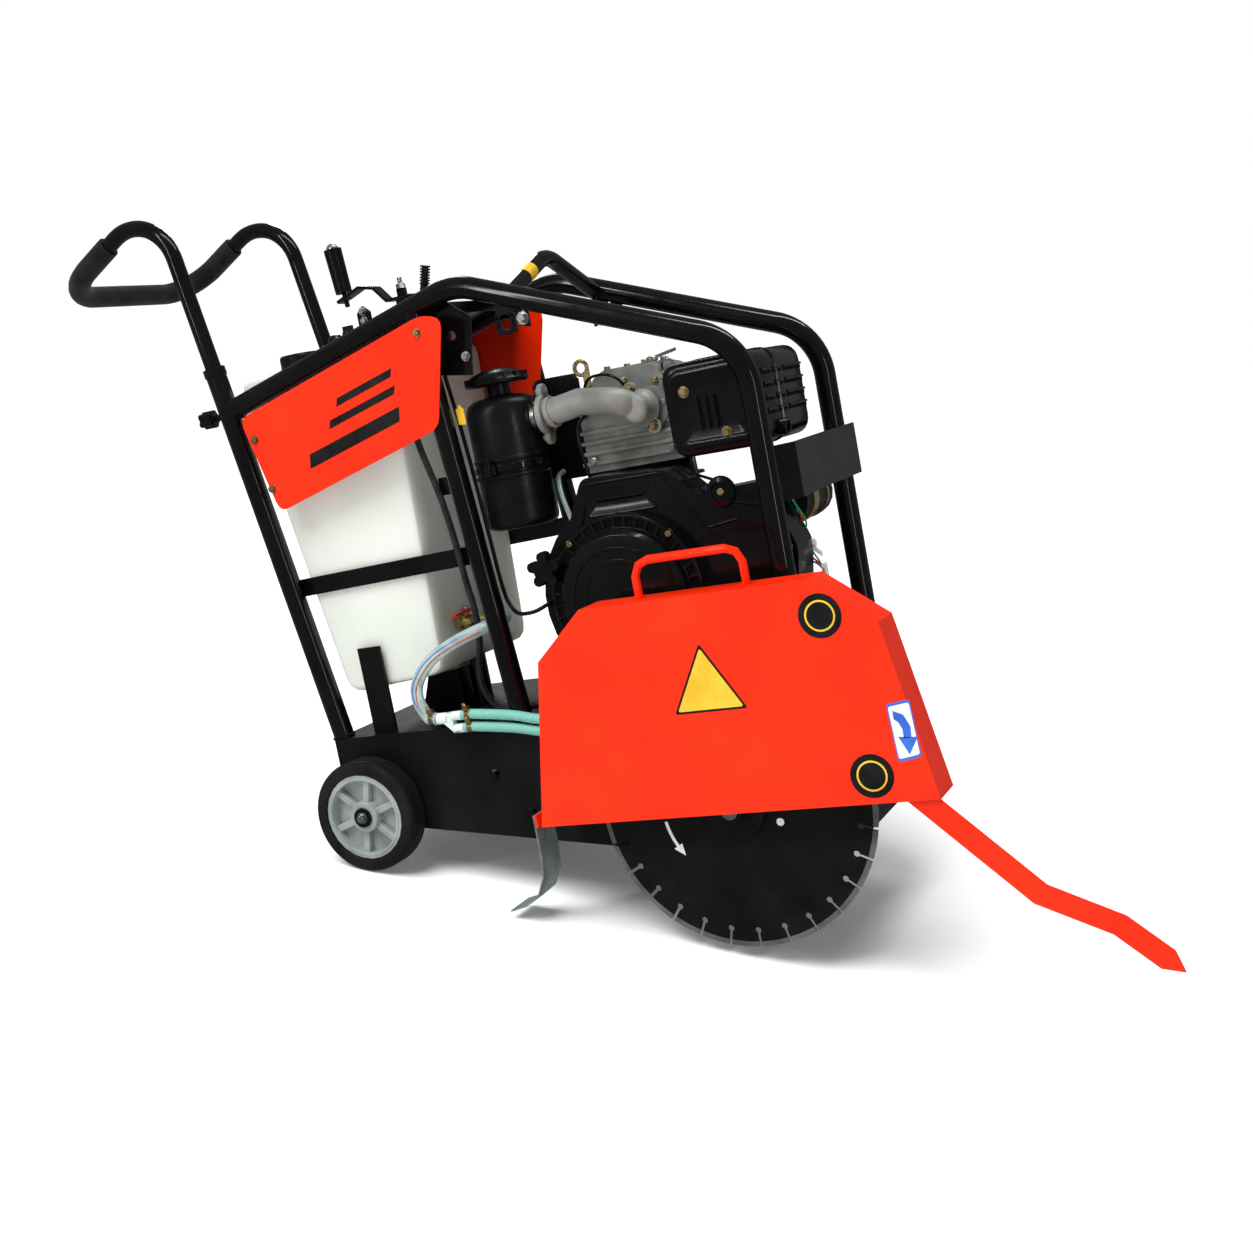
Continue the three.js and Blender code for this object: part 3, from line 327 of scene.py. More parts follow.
CLEAR_HOSE = clear_hose()
GREEN_HOSE = braided_hose()
FLAP = flap_sheet()
SLEEVE = wound_sleeve()
FOAM = foam()
INK_BLACK = printed("ink_black", grey(0.004), grey(0.010))
INK_YELLOW = printed("ink_yellow", (0.72, 0.43, 0.015), (0.86, 0.55, 0.03))
INK_WHITE = printed("ink_white", (0.70, 0.72, 0.72), (0.86, 0.87, 0.87))
INK_BLUE = printed("ink_blue", (0.02, 0.10, 0.52), (0.04, 0.16, 0.66))
WIRE_RED = printed("wire_red", (0.45, 0.01, 0.01), (0.60, 0.02, 0.02))
WIRE_GREEN = printed("wire_green", (0.02, 0.30, 0.08), (0.04, 0.42, 0.12))


# ---- shape building blocks ----
def piece(name, parts, material, body="machine", bevel=0.0, sharp=35):
    """A mesh from parts in the chassis frame, shaded smooth below the sharp angle, riding on a body."""
    verts, faces = merged(parts)
    mesh = bpy.data.meshes.new(name)
    mesh.from_pydata([at(*vert) for vert in verts], [], faces)
    build = bmesh.new()
    build.from_mesh(mesh)
    bmesh.ops.remove_doubles(build, verts=build.verts, dist=1e-6)
    bmesh.ops.recalc_face_normals(build, faces=build.faces)
    build.to_mesh(mesh)
    build.free()
    mesh.shade_smooth()
    mesh.set_sharp_from_angle(angle=math.radians(sharp))
    mesh.materials.append(material)
    item = bpy.data.objects.new(name, mesh)
    bpy.context.collection.objects.link(item)
    if bevel:
        edges = item.modifiers.new("edges", "BEVEL")
        edges.width = bevel * MM
        edges.segments = 2
        edges.angle_limit = math.radians(sharp)
        edges.harden_normals = True
    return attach(item, body)


def merged(parts):
    """Several (verts, faces) pairs as one."""
    verts, faces = [], []
    for some_verts, some_faces in parts:
        base = len(verts)
        verts += some_verts
        faces += [[index + base for index in face] for face in some_faces]
    return verts, faces


def polar(radius, angle):
    return Vector((radius * math.cos(angle), radius * math.sin(angle)))


def spoke(turn):
    """A unit direction in x and z."""
    return Vector((math.cos(turn), 0, math.sin(turn)))


def revolve(profile, centre, axis, sides=48):
    """A profile of (radius, distance along the axis) turned round the axis through the centre."""
    axis = Vector(axis).normalized()
    across = axis.orthogonal().normalized()
    other = axis.cross(across)
    verts = []
    for radius, along in profile:
        for k in range(sides):
            turn = 2 * math.pi * k / sides
            rim = across * math.cos(turn) + other * math.sin(turn)
            verts.append(Vector(centre) + axis * along + rim * radius)
    faces = []
    for level in range(len(profile) - 1):
        for k in range(sides):
            n = (k + 1) % sides
            low, high = level * sides, (level + 1) * sides
            faces.append([low + k, low + n, high + n, high + k])
    if profile[0] != profile[-1]:
        for level in (0, len(profile) - 1):
            if profile[level][0] > 0:
                faces.append([level * sides + k for k in range(sides)])
    return verts, faces


def block(centre, size, forward=AHEAD, upward=UPRIGHT):
    """A box of a given size turned to the two directions."""
    a = Vector(forward).normalized()
    c = Vector(upward).normalized()
    b = c.cross(a)
    verts = []
    for i in (-0.5, 0.5):
        for j in (-0.5, 0.5):
            for k in (-0.5, 0.5):
                verts.append(Vector(centre) + a * size[0] * i + b * size[1] * j + c * size[2] * k)
    return verts, [[0, 1, 3, 2], [4, 6, 7, 5], [0, 4, 5, 1], [2, 3, 7, 6], [0, 2, 6, 4], [1, 5, 7, 3]]


def slab(outline, y0, y1):
    """An outline in x and z, given thickness from y0 to y1."""
    count = len(outline)
    verts = [Vector((x, y, z)) for y in (y0, y1) for x, z in outline]
    faces = [list(range(count)), list(range(count, 2 * count))]
    faces += [[k, (k + 1) % count, count + (k + 1) % count, count + k] for k in range(count)]
    return verts, faces


def rounded(points, radius, steps=6):
    """The outline with each corner rounded off."""
    outline = []
    for i, corner in enumerate(points):
        corner = Vector(corner)
        before = (Vector(points[i - 1]) - corner).normalized() * radius
        after = (Vector(points[(i + 1) % len(points)]) - corner).normalized() * radius
        for k in range(steps + 1):
            t = k / steps
            outline.append(corner + before * (1 - t) ** 2 + after * t ** 2)
    return outline


def pillow(x0, x1, z0, z1, corner, profile):
    """A box with rounded corners whose outline shrinks by an inset at each y, so that its edges roll over."""
    verts, faces = [], []
    for inset, y in profile:
        outline = rounded_box_outline(x0 + inset, x1 - inset, z0 + inset, z1 - inset, max(corner - inset, 2))
        verts += [Vector((point[0], y, point[1])) for point in outline]
    count = len(outline)
    for level in range(len(profile) - 1):
        low, high = level * count, (level + 1) * count
        faces += [[low + k, low + (k + 1) % count, high + (k + 1) % count, high + k] for k in range(count)]
    faces += [list(range(count)), list(range(len(verts) - count, len(verts)))]
    return verts, faces


def rounded_box_outline(x0, x1, z0, z1, radius):
    return rounded([(x0, z0), (x1, z0), (x1, z1), (x0, z1)], radius)


def bent_path(corners, radius, steps=14):
    """Points along straight runs joined by circular bends."""
    corners = [Vector(corner) for corner in corners]
    points = [corners[0]]
    for before, corner, after in zip(corners, corners[1:], corners[2:]):
        back = (before - corner).normalized()
        ahead = (after - corner).normalized()
        half = back.angle(ahead) / 2
        reach = radius / math.tan(half)
        centre = corner + (back + ahead).normalized() * radius / math.sin(half)
        start = corner + back * reach - centre
        end = corner + ahead * reach - centre
        sweep = start.angle(end)
        for k in range(steps + 1):
            t = k / steps
            a = math.sin((1 - t) * sweep) / math.sin(sweep)
            b = math.sin(t * sweep) / math.sin(sweep)
            points.append(centre + start * a + end * b)
    return points + [corners[-1]]


def smooth_path(points, steps=6):
    """A Catmull-Rom line through the points."""
    points = [Vector(point) for point in points]
    ends = [2 * points[0] - points[1]] + points + [2 * points[-1] - points[-2]]
    path = []
    for p0, p1, p2, p3 in zip(ends, ends[1:], ends[2:], ends[3:]):
        for k in range(steps):
            t = k / steps
            a = 2 * p1 + (p2 - p0) * t
            b = (2 * p0 - 5 * p1 + 4 * p2 - p3) * t ** 2
            c = (3 * p1 - p0 - 3 * p2 + p3) * t ** 3
            path.append((a + b + c) / 2)
    return path + [points[-1]]


def tube(name, path, radius, material, body="machine"):
    """A round tube as a curve, with closed ends."""
    data = bpy.data.curves.new(name, "CURVE")
    data.dimensions = "3D"
    data.bevel_depth = radius * MM
    data.bevel_resolution = 6
    data.use_fill_caps = True
    spline = data.splines.new("POLY")
    spline.points.add(len(path) - 1)
    for point, place in zip(spline.points, path):
        point.co = (*at(*place), 1)
    spline.use_smooth = True
    data.materials.append(material)
    item = bpy.data.objects.new(name, data)
    bpy.context.collection.objects.link(item)
    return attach(item, body)


def ring(centre, axis, inner, outer, width, sides=40):
    """A collar with softened rims."""
    half = width / 2
    soft = min(0.25 * width, 0.3 * (outer - inner))
    profile = [(inner, -half), (outer - soft, -half), (outer, soft - half), (outer, half - soft),
               (outer - soft, half), (inner, half), (inner, -half)]
    return revolve(profile, centre, axis, sides)


def hex_bolt(centre, axis, across):
    """A washer, a hexagon head and its domed top, standing along the axis."""
    r = across / 2
    thick = 0.9
    washer = revolve([(0, 0), (1.45 * r, 0), (1.5 * r, 0.3), (1.45 * r, thick), (0, thick)], centre, axis, 28)
    top = thick + r
    head = revolve([(0, thick), (1.12 * r, thick), (1.12 * r, thick + 0.85 * r), (0.95 * r, top), (0, top)],
                   centre, axis, 6)
    return merged([washer, head])


def bolts(name, spots, axis, across, material, body="machine"):
    parts = [hex_bolt(spot, axis, across) for spot in spots]
    return piece(name, parts, material, body, bevel=0.25, sharp=28)


# ---- hoses and cables, first because they are measured ----
WATER_ROUTE = [(-423, -75, 281), (-398, -77, 281), (-371, -92, 281), (-366, -118, 281), (-385, -146, 275),
               (-420, -162, 264), (-462, -170, 244), (-490, -175, 215), (-496, -178, 190),
               (-488, -180, 168), (-479, -181, 156.5), (-466.4, -181, 155)]
UPPER_ROUTE = [(-423, -181, 157), (-405, -181, 157), (-340, -184, 150), (-300, -188, 142), (-278, -190, 140),
               (-263, -190, 140)]
LOWER_ROUTE = [(-423, -181, 138), (-405, -181, 138), (-340, -184, 131), (-300, -188, 124), (-278, -190, 122),
               (-263, -190, 122)]
HARNESS_ROUTE = [(-436, -126, 730), (-432, -138, 660), (-428, -149, 600), (-420, -151, 550), (-402, -152, 473),
                 (-393, -152, 405), (-390, -150, 350), (-392, -138, 300), (-400, -130, 255), (-413, -126, 204),
                 (-406, -124, 165), (-380, -122, 148), (-313, -116, 148), (-268, -104, 152), (-254, -96, 160)]
CABLE_ROUTE = [(-374, -126, 688), (-372, -122, 644), (-362, -126, 578), (-351, -134, 500), (-346, -134, 420),
               (-341, -133, 332), (-329, -141, 303), (-312, -149, 291), (-287, -150, 291), (-270, -142, 297),
               (-266, -134, 299), (-266, -126, 299)]


def held_cord(name, node, route, radius, material):
    """A cord or hose that the machine holds at both ends, in place of its plain solid."""
    path = smooth_path(route)
    cord = tube(name, path, radius, material)
    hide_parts(node)
    return path


def make_hoses():
    water = held_cord("water_hose_skin", "water_hose", WATER_ROUTE, 9.5, CLEAR_HOSE)
    for name, shift, ink in (("hose_line_blue", (-1.5, -9.4, 1.5), INK_BLUE),
                             ("hose_line_red", (3.5, -8.9, -3.0), WIRE_RED)):
        line = [point + Vector(shift) for point in water[24:-12]]
        tube(name, line, 0.8, ink)
    held_cord("upper_hose_skin", "guard_hose_upper", UPPER_ROUTE, 7.5, GREEN_HOSE)
    held_cord("lower_hose_skin", "guard_hose_lower", LOWER_ROUTE, 7.5, GREEN_HOSE)
    held_cord("harness_sleeve", "wiring_harness", HARNESS_ROUTE, 5, SLEEVE)
    held_cord("throttle_cable_skin", "throttle_cable", CABLE_ROUTE, 3, PLASTIC)


make_hoses()


def make_hose_clamps():
    """Worm-drive clamps: a band, its screw housing above or below it, and the screw."""
    spots = [((-415, -75, 281), 10.2, -1), ((-474, -181, 155.6), 10.2, 1),
             ((-412, -181, 157), 8.2, 1), ((-412, -181, 138), 8.2, 1),
             ((-272, -190, 140), 8.2, 1), ((-272, -190, 122), 8.2, 1)]
    screw = [(0, 0), (2.8, 0), (2.8, 8), (2, 9), (0, 9)]
    parts = []
    for (x, y, z), radius, up in spots:
        housing_z = z + up * (radius + 2)
        parts.append(ring((x, y, z), AHEAD, radius - 0.6, radius + 0.5, 8))
        parts.append(block((x, y - 0.5 * radius, housing_z), (8.5, 9, 6)))
        parts.append(revolve(screw, (x, y - 0.5 * radius - 3, housing_z), (0, -0.4, up), 6))
    piece("hose_clamps", parts, YELLOW_ZINC, bevel=0.3)


# ---- dressing the CAD nodes ----
def dress(node, material, edge=0.8):
    """Gives a CAD node its material, soft edges and smooth shading."""
    item = frame["nodes"][node]
    mesh = item.data
    mesh.materials.clear()
    mesh.materials.append(material)
    mesh.polygons.foreach_set("material_index", [0] * len(mesh.polygons))
    if "custom_normal" in mesh.attributes:
        mesh.attributes.remove(mesh.attributes["custom_normal"])
    mesh.shade_smooth()
    weld = item.modifiers.new("weld", "WELD")
    weld.merge_threshold = 2e-5
    flats = item.modifiers.new("flats", "DECIMATE")
    flats.decimate_type = "DISSOLVE"
    flats.angle_limit = math.radians(0.6)
    edges = item.modifiers.new("edges", "BEVEL")
    edges.width = edge * MM
    edges.segments = 2
    edges.angle_limit = math.radians(32)
    normals = item.modifiers.new("normals", "WEIGHTED_NORMAL")
    normals.keep_sharp = False


LOOKS = {
    BLACK: {"lifting_bail": 0.5, "console_panel": 0.6, "screw_tube": 0.4, "crank_arm": 0.6, "swing_arm": 0.6,
            "belt_guard": 1.0, "rear_upright": 0.5, "front_upright": 0.5},
    DECK: {"chassis": 0.8},
    ORANGE: {"guard_cover": 1.2, "guard_back": 0.8, "pointer_arm": 0.9, "side_panel": 0.6},
    COVER: {"front_plate": 0.6, "fan_shroud": 3.0, "recoil_cover": 1.5, "fuel_tank": 4.0},
    ENGINE_BLACK: {"engine_block": 1.0, "engine_pulley": 0.6, "blade_nut": 0.8},
    PLASTIC: {"tank_cap": 1.2, "crank_grip": 1.5, "fuel_cap": 1.0, "star_knob": 1.5, "throttle_lever": 0.6,
              "clamp_knob": 0.8},
    KNOB: {"stop_button": 0.8, "key_switch": 0.8},
    STEEL: {"depth_rod": 0.4, "arbor_shaft": 0.5},
    TANK: {"water_tank": 2.5}, BRASS: {"ball_valve": 0.5}, VINYL: {"valve_lever": 0.5},
    HEAD_CAST: {"cylinder_head": 1.0}, RUBBER: {"drive_belt": 0.6}, MILKY: {"hose_splitter": 0.8},
    ALLOY: {"rear_hub": 1.0}, TYRE: {"front_wheel": 1.0}, FLAP: {"splash_flap": 0.5},
}


def dress_all():
    """Each node named above, or its right and left copies."""
    for material, nodes in LOOKS.items():
        for node, edge in nodes.items():
            for name in (node, f"{node}_right", f"{node}_left"):
                if name in frame["nodes"]:
                    dress(name, material, edge)


# ---- tube frame and handle ----
def make_cage():
    for word, side in SIDES:
        y = side * FRAME_Y
        back = [(rear_tube_x(658.8) + 5, y, 660), (-309, y, 768)]
        corners = back + [(FRONT_TUBE_X, y, z) for z in (612, 137.8)]
        loop = tube(f"cage_tube_{word}", bent_path(corners, 95), TUBE_RADIUS, BLACK)
        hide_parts(f"cage_loop_{word}")


def make_welds():
    """Weld beads where tubes meet each other and the deck."""
    parts = []
    for _, side in SIDES:
        y = side * FRAME_Y
        parts.append(weld_ring((FRONT_TUBE_X, y, WELD_Z), UPRIGHT, TUBE_RADIUS))
        parts.append(weld_ring((rear_tube_x(WELD_Z), y, WELD_Z), (-0.16, 0, 1), TUBE_RADIUS))
        parts.append(weld_ring((rear_tube_x(660) + 18, y, 663), (1, 0, 0.294), TUBE_RADIUS))
    piece("weld_beads", parts, BLACK, sharp=60)


def weld_ring(centre, axis, radius, beads=22, size=2.4):
    """A ripple of overlapping beads round a joint."""
    axis = Vector(axis).normalized()
    across = axis.orthogonal().normalized()
    other = axis.cross(across)
    profile = [(0, -size), (0.8 * size, -0.6 * size), (size, 0), (0.8 * size, 0.6 * size), (0, size)]
    parts = []
    for k in range(beads):
        turn = 2 * math.pi * k / beads
        rim = across * math.cos(turn) + other * math.sin(turn)
        parts.append(revolve(profile, Vector(centre) + rim * radius, rim, 8))
    return merged(parts)


def handle_path():
    right = [(rear_tube_x(z), -FRAME_Y, z) for z in (560, 998)] + [(-1010, -FRAME_Y, 887)]
    corners = right + [(x, -y, z) for x, y, z in reversed(right)]
    return bent_path(corners, 72, 18)


def below_x(path, limit):
    """The run of a path behind a given x, cut exactly there."""
    run = []
    for a, b in zip(path, path[1:]):
        if (a.x - limit) * (b.x - limit) < 0:
            run.append(a.lerp(b, (limit - a.x) / (b.x - a.x)))
        if b.x < limit:
            run.append(b)
    return run


def make_handle():
    path = handle_path()
    bar = tube("handle_bar", path, HANDLE_RADIUS, BLACK, "handle")
    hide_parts("handlebar")
    held = below_x(path, GRIP_START_X)
    sleeve = tube("foam_sleeve", held, FOAM_RADIUS, FOAM, "handle")
    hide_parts("foam_grip")


# ---- wheels ----
def make_tyres():
    """Solid tyres with three grooves round the tread."""
    w, r = 23, REAR_WHEEL_RADIUS
    tread = []
    for middle in (-9, 0, 9):
        tread += [(r, middle - 1.4), (r - 2.8, middle - 0.9), (r - 2.8, middle + 0.9), (r, middle + 1.4)]
    profile = [(66.3, 3 - w), (68, 1 - w), (76, -w), (82, 1.2 - w), (r - 1, 5 - w), (r, 9 - w), *tread,
               (r, w - 9), (r - 1, w - 5), (82, w - 1.2), (76, w), (68, w - 1), (66.3, w - 3), (66.3, 3 - w)]
    for word, side in SIDES:
        centre = (REAR_AXLE[0], side * REAR_WHEEL_Y, REAR_AXLE[1])
        tyre = piece(f"tyre_{word}", [revolve(profile, centre, ASIDE, 96)], TYRE, f"rear_wheel_{word}")
        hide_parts(f"rear_tyre_{word}")


def make_hub_webs():
    """Six cast webs on each face, the bearing and its seal."""
    for word, side in SIDES:
        body = f"rear_wheel_{word}"
        x, z = REAR_AXLE
        webs = []
        for face in (-1, 1):
            for k in range(6):
                out = spoke(math.pi * k / 3 + 0.3)
                middle = Vector((x, side * REAR_WHEEL_Y + face * 9.5, z)) + out * 40
                webs.append(block(middle, (38, 11, 11), out, ASIDE))
        piece(f"hub_webs_{word}", webs, ALLOY, body, bevel=2.2)
        outer = side * (REAR_WHEEL_Y + 20)
        seat = [ring((x, outer, z), ASIDE, 15.5, 23, 3), ring((x, outer, z), ASIDE, 58, 61, 2.4, 72)]
        piece(f"hub_rims_{word}", seat, ALLOY, body)
        bearing = ring((x, side * (REAR_WHEEL_Y + 20.2), z), ASIDE, 10, 15.4, 2)
        piece(f"bearing_{word}", [bearing], ALLOY, body)
        bolts(f"axle_bolt_{word}", [(x, side * (REAR_WHEEL_Y + 25), z)], (0, side, 0), 12, STEEL)


def make_front_hubs():
    for word, side in SIDES:
        x, z = FRONT_AXLE
        parts = []
        for face in (-1, 1):
            y = side * FRONT_WHEEL_Y + face * 19
            parts.append(ring((x, y, z), ASIDE, 10, 32, 1.6, 56))
            parts.append(ring((x, y, z), ASIDE, 28, 33, 3.4, 56))
        piece(f"front_hub_{word}", parts, ALLOY, f"depth_wheel_{word}")


# ---- blade ----
def blade_outline(core_radius=194, hole_radius=4.6, hole_ring=177, slot_half=2.1):
    """The core's rim, with a keyhole slot between every two segments."""
    pitch = 2 * math.pi / SEGMENT_COUNT
    neck = math.asin(slot_half / hole_radius)
    outline = []
    for k in range(SEGMENT_COUNT):
        slot = k * pitch
        outward, along = polar(1, slot), polar(1, slot + math.pi / 2)
        edge = slot_half / core_radius
        outline.append(polar(core_radius, slot - edge))
        for n in range(11):
            reach = polar(hole_radius, -neck - (2 * math.pi - 2 * neck) * n / 10)
            outline.append(outward * (hole_ring + reach.x) + along * reach.y)
        outline += [polar(core_radius, slot + edge), polar(core_radius, slot + pitch / 3),
                    polar(core_radius, slot + 2 * pitch / 3)]
    return outline


def make_blade():
    half = 1.5
    disc = slab(blade_outline(), BLADE_Y - half, BLADE_Y + half)
    core = piece("blade_core", [disc], BLADE, "arbor", sharp=50)
    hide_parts("saw_blade")
    pitch = 2 * math.pi / SEGMENT_COUNT
    edge = 2.15 / BLADE_RADIUS
    parts = []
    for k in range(SEGMENT_COUNT):
        turns = [k * pitch + edge + (pitch - 2 * edge) * n / 6 for n in range(7)]
        outline = [polar(BLADE_RADIUS, turn) for turn in turns]
        outline += [polar(193, turn) for turn in reversed(turns)]
        parts.append(slab(outline, BLADE_Y - half - 0.35, BLADE_Y + half + 0.35))
    piece("blade_segments", parts, SEGMENT, "arbor", bevel=0.3, sharp=40)


def arc_band(centre, radius, width, start, end, steps=12):
    """A curved band in x and z, from one angle to another in degrees."""
    turns = [math.radians(start + (end - start) * k / steps) for k in range(steps + 1)]
    middle = Vector(centre)
    outer = [middle + polar(radius + width / 2, turn) for turn in turns]
    return outer + [middle + polar(radius - width / 2, turn) for turn in reversed(turns)]


def arrow_head(centre, radius, turn_degrees, width, length):
    """A triangle at the end of a band, pointing the way the angle grows."""
    turn = math.radians(turn_degrees)
    middle = Vector(centre)
    tip = middle + polar(radius, turn + length / radius)
    return [middle + polar(radius + width / 2, turn), tip, middle + polar(radius - width / 2, turn)]


def disc_outline(centre, radius, steps=40):
    return [Vector(centre) + polar(radius, 2 * math.pi * k / steps) for k in range(steps)]


def make_blade_marks():
    """A plain turning arrow and a dot sprayed on the outer face."""
    y = BLADE_Y - 1.7
    marks = [slab(arc_band((0, 0), 108, 4.5, 188, 208), y, y + 0.3),
             slab(arrow_head((0, 0), 108, 208, 15, 17), y, y + 0.3),
             slab(disc_outline((61, -26), 5.5), y, y + 0.3)]
    piece("blade_marks", marks, INK_WHITE, "arbor", sharp=60)


# ---- guard and pointer ----
def sticker(name, outlines, layer, material):
    """Thin shapes on the guard's face, one layer over another."""
    y = GUARD_FACE_Y - STICKER_STEP * layer
    piece(name, [slab(outline, y - STICKER_STEP, y) for outline in outlines], material, "guard", sharp=60)


def shrunk(outline, keep):
    middle = sum((Vector(point) for point in outline), Vector((0, 0))) / len(outline)
    return [middle + (Vector(point) - middle) * keep for point in outline]


def make_guard_stickers():
    """Plain stand-ins for the stickers: two ringed discs, a blank triangle and a turning arrow."""
    discs = [(184, 253), (216, 40)]
    sticker("disc_stickers", [disc_outline(spot, 29) for spot in discs], 1, INK_BLACK)
    rings = [ring((x, GUARD_FACE_Y - 0.35, z), ASIDE, 18, 20.5, 0.2, 56) for x, z in discs]
    piece("disc_rings", rings, INK_YELLOW, "guard", sharp=60)
    triangle = rounded([(-40, 144), (65, 144), (12, 236)], 5)
    sticker("triangle_edge", [triangle], 1, INK_BLACK)
    sticker("triangle_face", [shrunk(triangle, 0.9)], 2, INK_YELLOW)
    plate = rounded([(250, 131), (281, 135), (285, 60), (254, 55)], 4)
    sticker("arrow_edge", [plate], 1, INK_BLUE)
    sticker("arrow_plate", [shrunk(plate, 0.9)], 2, INK_WHITE)
    stem = [(257, 122), (270, 116), (277, 100), (276, 86), (266, 86), (266, 98), (262, 107), (257, 111)]
    head = [(259, 88), (284, 86), (270, 64)]
    sticker("arrow_mark", [stem, head], 3, INK_BLUE)


def make_pointer():
    """A bent flat bar with a pointed end, swung from its eye."""
    near = GUARD_FACE_Y + 8.2
    line = [(235, near, 43), (403, near, -129), (485, BLADE_Y, -188), (537, BLADE_Y, -235)]
    half_width, half_thick = 15, 2.6
    directions = [(Vector(b) - Vector(a)).normalized() for a, b in zip(line, line[1:])]
    crosses = [Vector((-d.z, 0, d.x)).normalized() for d in directions]
    edges = [crosses[0]]
    for before, after in zip(crosses, crosses[1:]):
        middle = (before + after).normalized()
        edges.append(middle / middle.dot(before))
    edges.append(crosses[-1])
    verts = []
    for point, edge in zip(line, edges):
        for a, b in ((1, -1), (1, 1), (-1, 1), (-1, -1)):
            verts.append(Vector(point) + edge * half_width * a + Vector((0, half_thick * b, 0)))
    tip = Vector((556, BLADE_Y, -252))
    verts += [tip + Vector((0, -half_thick, 0)), tip + Vector((0, half_thick, 0))]
    faces = [[0, 1, 2, 3]]
    for k in range(len(line) - 1):
        low, high = 4 * k, 4 * k + 4
        faces += [[low + n, low + (n + 1) % 4, high + (n + 1) % 4, high + n] for n in range(4)]
    last = 4 * (len(line) - 1)
    faces += [[last, last + 3, last + 4], [last + 1, last + 5, last + 2], [last, last + 4, last + 5, last + 1],
              [last + 3, last + 2, last + 5, last + 4]]
    eye = ring((235, near, 43), ASIDE, 6.7, 15, 5.2)
    bar = piece("pointer_bar", [(verts, faces), eye], ORANGE, "pointer", bevel=0.8, sharp=20)
    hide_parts("pointer_arm")


# ---- panels, console and small frame fittings ----
def make_panel_fittings():
    spots = [(-372, 713), (-689, 610), (-676, 533)]
    for word, side, face in PANELS:
        places = [(x, face, z) for x, z in spots]
        bolts(f"panel_bolts_{word}", places, (0, side, 0), 9, YELLOW_ZINC)
    gusset = [(-338, -139.6, 700), (-322, -139.6, 668)]
    bolts("gusset_bolts", gusset, OUTWARD, 10, ZINC)


def make_panel_stripes():
    """Three plain stripes along each panel."""
    for word, side, face in PANELS:
        parts = []
        for x0, x1, z, height in ((-600, -430, 552, 21), (-552, -430, 604, 12), (-532, -430, 634, 12)):
            far_z = z + RAIL_SLOPE * (x1 - x0)
            stripe = [(x0, z), (x1, far_z), (x1 + 4, far_z + height), (x0 + 4, z + height)]
            parts.append(slab(stripe, *sorted((face, face + side * 0.3))))
        piece(f"panel_stripes_{word}", parts, INK_BLACK, sharp=60)


def make_console_fittings():
    tilt = Vector((-0.0668, 0, 0.9978))
    top = Vector((-598.6, 0, 878))
    dome = revolve([(0, 0), (9, 0), (9, 3), (7, 6.5), (3.5, 8.5), (0, 9)], top, tilt, 32)
    piece("grip_dome", [dome], ZINC, "crank")
    nuts = [hex_bolt((-592.6, 0, 797), tilt, 12)]
    nuts.append(revolve([(0, 0), (7.5, 0), (7.5, 6), (6, 7.5), (0, 7.5)], (-490, 0, 796), UPRIGHT, 6))
    nuts.append(revolve([(0, 0), (3.6, 0), (3.6, 9), (2.8, 10), (0, 10)], (-490, 0, 803), UPRIGHT, 20))
    piece("crank_nuts", nuts, ZINC, "crank", bevel=0.3, sharp=28)
    collar = [ring((-490, 0, 756), RAIL_NORMAL, 16.5, 27, 4), ring((-490, 0, 762), UPRIGHT, 15.2, 21, 9)]
    piece("crank_boss", collar, ZINC)
    lug = [(-503, -100, 752), (-503, -100, 766)]
    bolts("lug_bolts", lug, OUTWARD, 9, ZINC)
    trim = [ring((-588, -58, SWITCH_BOX_TOP + 0.4), UPRIGHT, 6.6, 11, 0.8),
            ring((-575, -58, SWITCH_BOX_TOP - 3), UPRIGHT, 3, 5, 1)]
    trim += [block((x, y, SWITCH_BOX_TOP + 0.8), (4, 4, 1.6)) for x in (-602, -548) for y in (-72, -44)]
    piece("switch_trim", trim, ZINC, bevel=0.3)
    corners = [(x, y, rail_z(x) + 2) for x in (-628, -384) for y in (-124, 124)]
    bolts("console_bolts", corners, RAIL_NORMAL, 9, ZINC)


def make_throttle_fittings():
    """Ribs on the lever's sleeve, the cable ferrule and a plain tag."""
    low, high = Vector((-370, -132.4, 778)), Vector((-362, -132.4, 806))
    axis = (high - low).normalized()
    ribs = [ring(low + axis * (4 + 4 * k), axis, 5, 7.5, 2.4, 24) for k in range(7)]
    piece("throttle_ribs", ribs, PLASTIC, "throttle")
    sleeve = [(0, 0), (4.4, 0), (4.4, 14), (3.6, 16), (0, 16)]
    ferrule = revolve(sleeve, (-373.6, -125.8, 672), (0.04, 0, 1), 24)
    piece("cable_ferrule", [ferrule], ZINC)
    tag = [(-352, 574), (-340, 573), (-340, 596), (-343, 598), (-344, 602), (-348, 602), (-349, 598),
           (-353, 597)]
    piece("cable_tag", [slab(tag, -144.6, -143.8)], INK_YELLOW, bevel=0.2)


def make_rail_lugs():
    """Tie-down eye and stay plate under each rail, with the stay's bolt."""
    for word, side in SIDES:
        y = side * FRAME_Y
        hole = [ring((-237, y, 699), ASIDE, 7.5, 15, 5), block((-237, y, 716), (28, 5, 20)),
                block((-250, y, 699), (5, 5, 28)), block((-224, y, 699), (5, 5, 28))]
        parts = [*hole, block((-209, y, 708), (19, 5, 34), (1, 0, -0.3))]
        piece(f"rail_lugs_{word}", parts, BLACK, bevel=0.6)
        bolts(f"rail_bolt_{word}", [(-209, y + side * 2.5, 702)], (0, side, 0), 13, ZINC)


